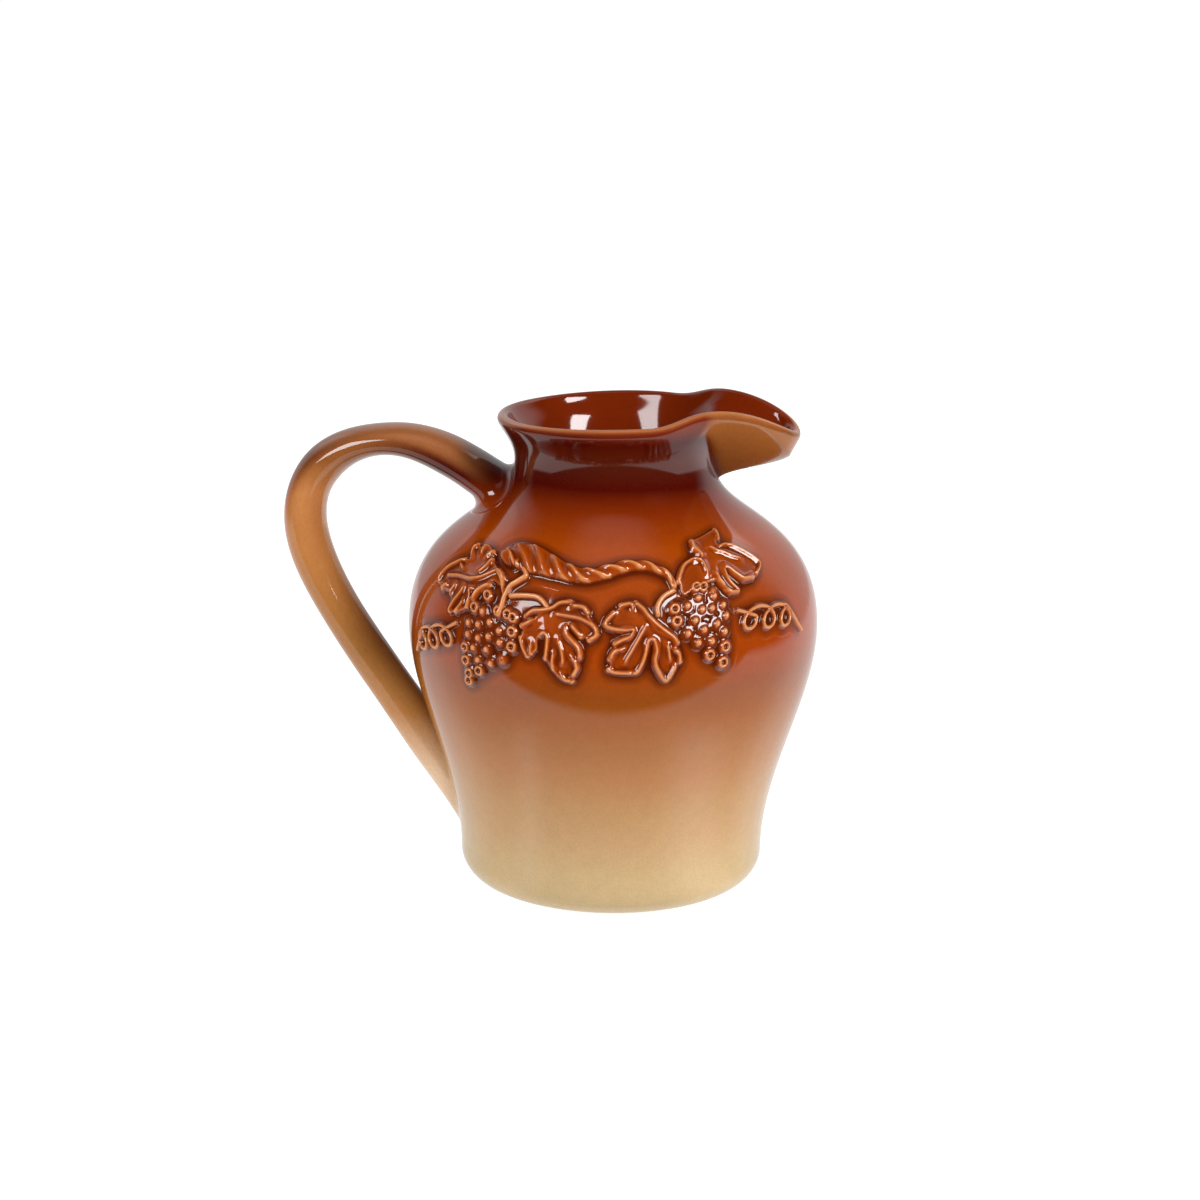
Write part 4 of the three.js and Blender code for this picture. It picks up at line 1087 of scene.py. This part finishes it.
def branch_relief(grid):
    away, path, side, length = distance_to(grid, smooth_route(BRANCH_ROUTE))
    half = along(BRANCH_HALF_WIDTH, path / length)
    share = np.clip(1 - (away / half)**2, 0, 1)
    turn = math.tau * (path + TWIST_SLANT * side / half) / TWIST_PITCH
    fullness = np.minimum(1, half / BRANCH_BASE)
    wave = 2 * (0.5 + 0.5 * np.cos(turn))**TWIST_SHARPNESS - 1
    strands = TWIST_DEPTH * wave * share**TWIST_DIES_OUT * fullness
    bark = BARK_HEIGHT * fold_relief(grid, BARK_RIDGES)[1]
    return BRANCH_HEIGHT * np.sqrt(share) * mix(THIN_END_HEIGHT, 1, fullness) + strands + bark


press_sprig("vine_branch", branch_relief, BRANCH_ROUTE, spare=BRANCH_MARGIN)

# The stems. Thin round-backed strands of clay that hang the left bunch, the left leaf and the right leaf from
# the branch. The left bunch's stem is forked.
STEMS = {
    "left_bunch_stem": [
        [(-22.4, 26.4), (-21.6, 24.6), (-23.7, 22.8), (-26, 21), (-27.4, 18.3), (-28.2, 15.4), (-29.1, 13.7)],
        [(-27.4, 18.6), (-28.2, 20.8), (-28.9, 22.8), (-30.4, 24.7)],
    ],
    "left_leaf_stem": [[(-25.6, 18.6), (-21.6, 19.2), (-18.1, 19.2), (-16.3, 18.1), (-15.1, 16.7)]],
    "right_leaf_stem": [[(17.1, 21.6), (14.6, 20.2), (13.1, 17.9), (13.2, 15.6)]],
}
STEM_HALF_WIDTH = 0.85
STEM_HEIGHT = 1.6


def strands_relief(routes, half_width, height):
    """The relief of round-backed strands, each pressed along its route."""

    def relief(grid):
        away = np.min([distance_to(grid, smooth_route(route))[0] for route in routes], axis=0)
        return height * np.sqrt(np.clip(1 - (away / half_width)**2, 0, 1))

    return relief


for stem_name, routes in STEMS.items():
    places = [place for route in routes for place in route]
    press_sprig(stem_name, strands_relief(routes, STEM_HALF_WIDTH, STEM_HEIGHT), places)

# The grapes. Two bunches of round beads on a thin bed. The beads round the outside are cupped, as the mould's
# pins left them.
GRAPE_RADIUS = 0.8
GRAPE_ROUNDING = 0.45
GRAPE_HEIGHT = 1.05
GRAPE_BED = 0.6
BED_REACH = 2.2  # how far the bed reaches from a grape's middle
BED_BLUR = 0.4
CUP_RADIUS = 1
CUP_EDGE = 0.42
CUP_HEIGHT = 0.95
CUPPED_BEYOND = 6.5  # how far from the bunch's middle a grape is cupped
CUPPED_BLUR = 1.5
BUNCH_MARGIN = 1.6  # how much wider the bunch's box is than that of the other sprigs
BUNCHES = {
    "left_grape_bunch": [
        (-32.8, 17.7), (-34.1, 13.4), (-31.6, 11.1), (-35.3, 10), (-38.7, 9.9), (-36.9, 14),
        (-28.6, 9.4), (-24.8, 9.7), (-24.6, 13.2), (-26.2, 13.8), (-29.1, 14.2), (-38.7, 7),
        (-35.2, 6.6), (-31.8, 7.5), (-28.3, 6.5), (-24.8, 5.9), (-36.7, 3.9), (-32.4, 4.1),
        (-39.7, 3.5), (-35.1, 1), (-31, 0.7), (-27.5, 2.2), (-39.3, 0.2), (-34.8, -1.8), (-38.2, -3.1),
        (-38.3, -5.1),
    ],
    "right_grape_bunch": [
        (25.4, 21.9), (23.4, 22.1), (28.2, 20.2), (31.2, 16.5), (28.5, 19.1), (24, 19.1), (21, 17.3),
        (17.6, 16.8), (25.1, 16.1), (27.9, 16.1), (32.1, 13.8), (29.4, 12.1), (18.2, 13.7),
        (23.2, 13.5), (25.7, 11), (21.2, 10.4), (31.6, 9.9), (24.1, 7.9), (27.9, 7.9), (31.9, 6.1),
        (27.4, 4.5), (31.3, 2.2),
    ],
}


def bunch_relief(grapes):
    grapes = np.array(grapes, float)
    middle = grapes.mean(axis=0)
    bed_edge = (BED_REACH + BED_BLUR, BED_REACH - BED_BLUR)
    grape_edge = (GRAPE_RADIUS + GRAPE_ROUNDING, GRAPE_RADIUS - GRAPE_ROUNDING)

    def relief(grid):
        height = np.zeros(grid.shape[:-1])
        for grape in grapes:
            away = np.linalg.norm(grid - grape, axis=-1)
            bed = GRAPE_BED * smoothstep(*bed_edge, away)
            whole = GRAPE_HEIGHT * smoothstep(*grape_edge, away)
            cup = CUP_HEIGHT * bead(away - CUP_RADIUS, CUP_EDGE)
            cupped = float(smoothstep(0, CUPPED_BLUR, np.linalg.norm(grape - middle) - CUPPED_BEYOND))
            height = np.maximum(height, bed + mix(whole, cup, cupped))
        return height

    return relief


for bunch_name, grapes in BUNCHES.items():
    press_sprig(bunch_name, bunch_relief(grapes), grapes, spare=BUNCH_MARGIN)

# The tendrils. A thin thread of clay on the outer side of each bunch, which rolls through three curls and is
# loose at both ends.
TENDRILS = {  # first curl's middle, step from curl to curl, and the two loose ends
    "left_tendril": {"first": (-47.3, 5.2), "step": (-6, -1.8), "root": (-43.4, 9), "end": (-63.4, -2.6)},
    "right_tendril": {"first": (40, 12.2), "step": (7, -0.8), "root": (36, 14.6), "end": (62.2, 5)},
}
CURLS = 3
CURL_PLACES = 24
CURL_WIDTH = 3.7
CURL_HEIGHT = 2.7
TENDRIL_HALF_WIDTH = 0.62
TENDRIL_HEIGHT = 1.3


def tendril_route(tendril):
    """The rolling curl of a tendril, with a loose end on each side."""
    first, step = (np.array(tendril[name], float) for name in ("first", "step"))
    heading = math.copysign(1, step[0])
    route = [tendril["root"]]
    for place in range(CURL_PLACES // 4, CURLS * CURL_PLACES - 1):
        turn = math.tau * place / CURL_PLACES
        curl = np.array([heading * CURL_WIDTH * math.sin(turn), CURL_HEIGHT * math.cos(turn)])
        route.append(first + step * (place / CURL_PLACES - 0.5) + curl)
    return [*route, tendril["end"]]


for tendril_name, tendril in TENDRILS.items():
    route = tendril_route(tendril)
    press_sprig(tendril_name, strands_relief([route], TENDRIL_HALF_WIDTH, TENDRIL_HEIGHT), route)

# The table. A wide sheet of white paper, lit so evenly that it shows no horizon. Seen in the glaze, it ends a
# little in front of the jug, where the dark room begins.
TABLE_SIZE = 16000
PAPER_GREY = 0.6
PAPER_ROUGHNESS = 0.9
PAPER_GLOW = 0.82
TABLE_EDGE = 129  # how far in front of the jug's middle the mirrored table ends
EDGE_BLUR = 11
TABLE_SIDES = (165, 660)  # from where to where it fades out to the left and right
LIT_PATCHES = {  # where the softboxes fall on the table: azimuth, half width in degrees, added brightness
    "left_patch": (-45, 14, 0.7),
    "right_patch": (45, 28, 1.2),
}
PATCH_START = (38, 56)  # from where to where a patch begins, from the jug's middle
PATCH_END = (80, 135)  # and where it fades out
MIRROR_LOSS = 0.42  # share of the table's light that the glaze does not mirror
FRONT_AZIMUTH = 8


def ramp(tree, value, low, high, bottom, top):
    """Goes smoothly from bottom to top as value goes from low to high."""
    node = add_node(tree, "MapRange", interpolation_type="SMOOTHSTEP")
    for name, number in (("From Min", low), ("From Max", high), ("To Min", bottom), ("To Max", top)):
        node.inputs[name].default_value = number
    tree.links.new(value, node.inputs["Value"])
    return node.outputs[0]


def products(tree, a, b, c, d):
    """a times b and c times d, added."""
    return arithmetic(tree, "MULTIPLY_ADD", a, b, arithmetic(tree, "MULTIPLY", c, d))


def to_the_front(tree, coordinates="Object"):
    """How far a place or a direction lies to the right, to the front and up, as the photographer stands."""
    split = add_node(tree, "SeparateXYZ")
    tree.links.new(add_node(tree, "TexCoord").outputs[coordinates], split.inputs[0])
    x, y, z = (split.outputs[axis] for axis in "XYZ")
    turn = math.radians(FRONT_AZIMUTH)
    right = products(tree, x, math.cos(turn), y, math.sin(turn))
    front = products(tree, x, math.sin(turn), y, -math.cos(turn))
    return right, front, z


def azimuth_of(tree, right, front):
    """Degrees from the photographer's side, + to the right."""
    return arithmetic(tree, "DEGREES", arithmetic(tree, "ARCTAN2", right, front))


def metres(*lengths):
    return [length * MM for length in lengths]


def paper_glow(tree, right, front):
    """How brightly the paper glows: evenly, and more where the softboxes fall on it."""
    azimuth = azimuth_of(tree, right, front)
    away = arithmetic(tree, "SQRT", products(tree, right, right, front, front))
    begun = ramp(tree, away, *metres(*PATCH_START), 0, 1)
    near = arithmetic(tree, "MULTIPLY", begun, ramp(tree, away, *metres(*PATCH_END), 1, 0))
    lit = PAPER_GLOW
    for middle, half_width, added in LIT_PATCHES.values():
        across = arithmetic(tree, "ABSOLUTE", arithmetic(tree, "SUBTRACT", azimuth, middle))
        patch = arithmetic(tree, "MULTIPLY", ramp(tree, across, 0, half_width, added, 0), near)
        lit = arithmetic(tree, "ADD", lit, patch)
    return lit


def lost_in_the_mirror(tree, right, front):
    """Share of the table that the glaze does not mirror: some of it up to its edge, and all beyond."""
    edge = metres(TABLE_EDGE - EDGE_BLUR, TABLE_EDGE + EDGE_BLUR)
    beyond = ramp(tree, front, *edge, MIRROR_LOSS, 1)
    aside = ramp(tree, arithmetic(tree, "ABSOLUTE", right), *metres(*TABLE_SIDES), 0, 1)
    return arithmetic(tree, "MAXIMUM", beyond, aside)


def white_paper():
    paper, tree, shader = new_material("white_paper")
    shader.inputs["Base Color"].default_value = (PAPER_GREY, PAPER_GREY, PAPER_GREY, 1)
    shader.inputs["Roughness"].default_value = PAPER_ROUGHNESS
    shader.inputs["Specular IOR Level"].default_value = 0
    shader.inputs["Emission Color"].default_value = (1, 1, 1, 1)
    right, front, _ = to_the_front(tree)
    tree.links.new(paper_glow(tree, right, front), shader.inputs["Emission Strength"])
    seen_in_glaze = add_node(tree, "LightPath").outputs["Is Glossy Ray"]
    lost = arithmetic(tree, "MULTIPLY", lost_in_the_mirror(tree, right, front), seen_in_glaze)
    choice = add_node(tree, "MixShader")
    tree.links.new(lost, choice.inputs[0])
    tree.links.new(shader.outputs[0], choice.inputs[1])
    tree.links.new(add_node(tree, "BsdfTransparent").outputs[0], choice.inputs[2])
    tree.links.new(choice.outputs[0], tree.nodes["Material Output"].inputs["Surface"])
    return paper


def lay_table():
    bm = bmesh.new()
    bmesh.ops.create_grid(bm, x_segments=1, y_segments=1, size=TABLE_SIZE / 2 * MM)
    mesh = bpy.data.meshes.new("white_table")
    bm.to_mesh(mesh)
    bm.free()
    mesh.materials.append(white_paper())
    table = bpy.data.objects.new("white_table", mesh)
    bpy.context.scene.collection.objects.link(table)


lay_table()

# The light. Two softboxes stand at the front, left and right. The wall takes only their soft light, without
# their mirror image. Besides them the glaze mirrors the dark room, a white backdrop, two windows and the pale
# ceiling. Azimuths are in degrees from the photographer's side, + to the right.
FILL_LIGHT = 0.32
SEEN_TENT = 1.0
DARK_ROOM = 0.008
BACKDROP = (100, 128, 0, 0.62)  # azimuth where it starts and where it is full, and its brightness there
BACKDROP_TOP = (30, 62)
CEILING = (66, 84, 0, 0.34)  # the same by elevation
WINDOWS = {  # azimuth, elevation, half width, half height and brightness
    "right_window": (135, 42, 15, 14, 1.3),
    "left_window": (-142, 34, 14, 16, 0.35),
}
WINDOW_WHOLE = 0.1  # square of the share of a window's size within which it has its full brightness
SOFTBOXES = {  # azimuth, height above the table, width, height, power
    "left_softbox": (-48, 670, 400, 640, 7),
    "right_softbox": (51, 670, 400, 640, 11.5),
}
SOFTBOX_AWAY = 950


def mirrored_room(tree):
    """How bright the room is in each direction, as the glaze mirrors it."""
    right, front, up = to_the_front(tree, "Generated")
    azimuth = azimuth_of(tree, right, front)
    elevation = arithmetic(tree, "DEGREES", arithmetic(tree, "ARCSINE", up))
    behind = ramp(tree, arithmetic(tree, "ABSOLUTE", azimuth), *BACKDROP)
    room = arithmetic(tree, "MULTIPLY", behind, ramp(tree, elevation, *BACKDROP_TOP, 1, 0))
    room = arithmetic(tree, "MAXIMUM", room, ramp(tree, elevation, *CEILING))
    room = arithmetic(tree, "MAXIMUM", room, DARK_ROOM)
    for middle, height, half_width, half_height, brightness in WINDOWS.values():
        across = arithmetic(tree, "DIVIDE", arithmetic(tree, "SUBTRACT", azimuth, middle), half_width)
        along_it = arithmetic(tree, "DIVIDE", arithmetic(tree, "SUBTRACT", elevation, height), half_height)
        away = products(tree, across, across, along_it, along_it)
        room = arithmetic(tree, "ADD", room, ramp(tree, away, WINDOW_WHOLE, 1, brightness, 0))
    return room


def light_tent():
    world = bpy.data.worlds.new("white_tent")
    bpy.context.scene.world = world
    world.use_nodes = True
    tree = world.node_tree
    path = add_node(tree, "LightPath")
    fill = add_node(tree, "Mix", data_type="FLOAT")
    tree.links.new(path.outputs["Is Camera Ray"], fill.inputs["Factor"])
    fill.inputs["A"].default_value = FILL_LIGHT
    fill.inputs["B"].default_value = SEEN_TENT
    strength = add_node(tree, "Mix", data_type="FLOAT")
    tree.links.new(path.outputs["Is Glossy Ray"], strength.inputs["Factor"])
    tree.links.new(fill.outputs[0], strength.inputs["A"])
    tree.links.new(mirrored_room(tree), strength.inputs["B"])
    background = tree.nodes["Background"]
    background.inputs["Color"].default_value = (1, 1, 1, 1)
    tree.links.new(strength.outputs[0], background.inputs["Strength"])


def stand_softbox(name, azimuth, stand, width, height, power):
    lamp = bpy.data.lights.new(name, "AREA")
    lamp.shape = "RECTANGLE"
    lamp.size = width * MM
    lamp.size_y = height * MM
    lamp.energy = power
    turn = math.radians(FRONT_AZIMUTH + azimuth)
    place = Vector((SOFTBOX_AWAY * math.sin(turn), -SOFTBOX_AWAY * math.cos(turn), stand))
    softbox = bpy.data.objects.new(name, lamp)
    softbox.location = place * MM
    softbox.rotation_euler = (Vector((0, 0, BELLY_HEIGHT)) - place).to_track_quat("-Z", "Y").to_euler()
    softbox.visible_camera = False
    bpy.context.scene.collection.objects.link(softbox)
    return softbox


def aim_at(softbox, name, pieces):
    """Lets a softbox light only these pieces."""
    lit = bpy.data.collections.new(name)
    for piece in pieces:
        lit.objects.link(piece)
    softbox.light_linking.receiver_collection = lit


light_tent()
others = [piece for piece in bpy.context.scene.objects if piece.type == "MESH" and piece != vessel]
for name, measures in SOFTBOXES.items():
    aim_at(stand_softbox(name, *measures), f"{name}_on_the_rest", others)
    dulled = stand_softbox(f"{name}_dulled", *measures)
    dulled.visible_glossy = False
    aim_at(dulled, f"{name}_on_the_wall", [vessel])

# The camera. It stands a little to the spout's side of the front, twice as high as the jug, and looks down
# on it.
CAMERA_LENS = 85.04
SENSOR_WIDTH = 36
CAMERA_AWAY = 753.3
CAMERA_HEIGHT = 269.2
CAMERA_PITCH = 14.246
CAMERA_ROLL = 0.55
CAMERA_SHIFT = -0.01114


def place_camera():
    camera = bpy.data.objects.new("camera", bpy.data.cameras.new("camera"))
    bpy.context.scene.collection.objects.link(camera)
    camera.data.lens = CAMERA_LENS
    camera.data.sensor_width = SENSOR_WIDTH
    camera.data.shift_x = CAMERA_SHIFT
    azimuth = math.radians(FRONT_AZIMUTH)
    out = Vector((math.sin(azimuth) * CAMERA_AWAY, -math.cos(azimuth) * CAMERA_AWAY, CAMERA_HEIGHT))
    turned = (
        Matrix.Translation(out * MM) @ Matrix.Rotation(azimuth, 4, "Z")
        @ Matrix.Rotation(math.radians(90 - CAMERA_PITCH), 4, "X")
        @ Matrix.Rotation(math.radians(CAMERA_ROLL), 4, "Z")
    )
    camera.matrix_world = turned
    bpy.context.scene.camera = camera
    bpy.context.scene.view_settings.view_transform = "Standard"


place_camera()

bpy.context.view_layer.update()
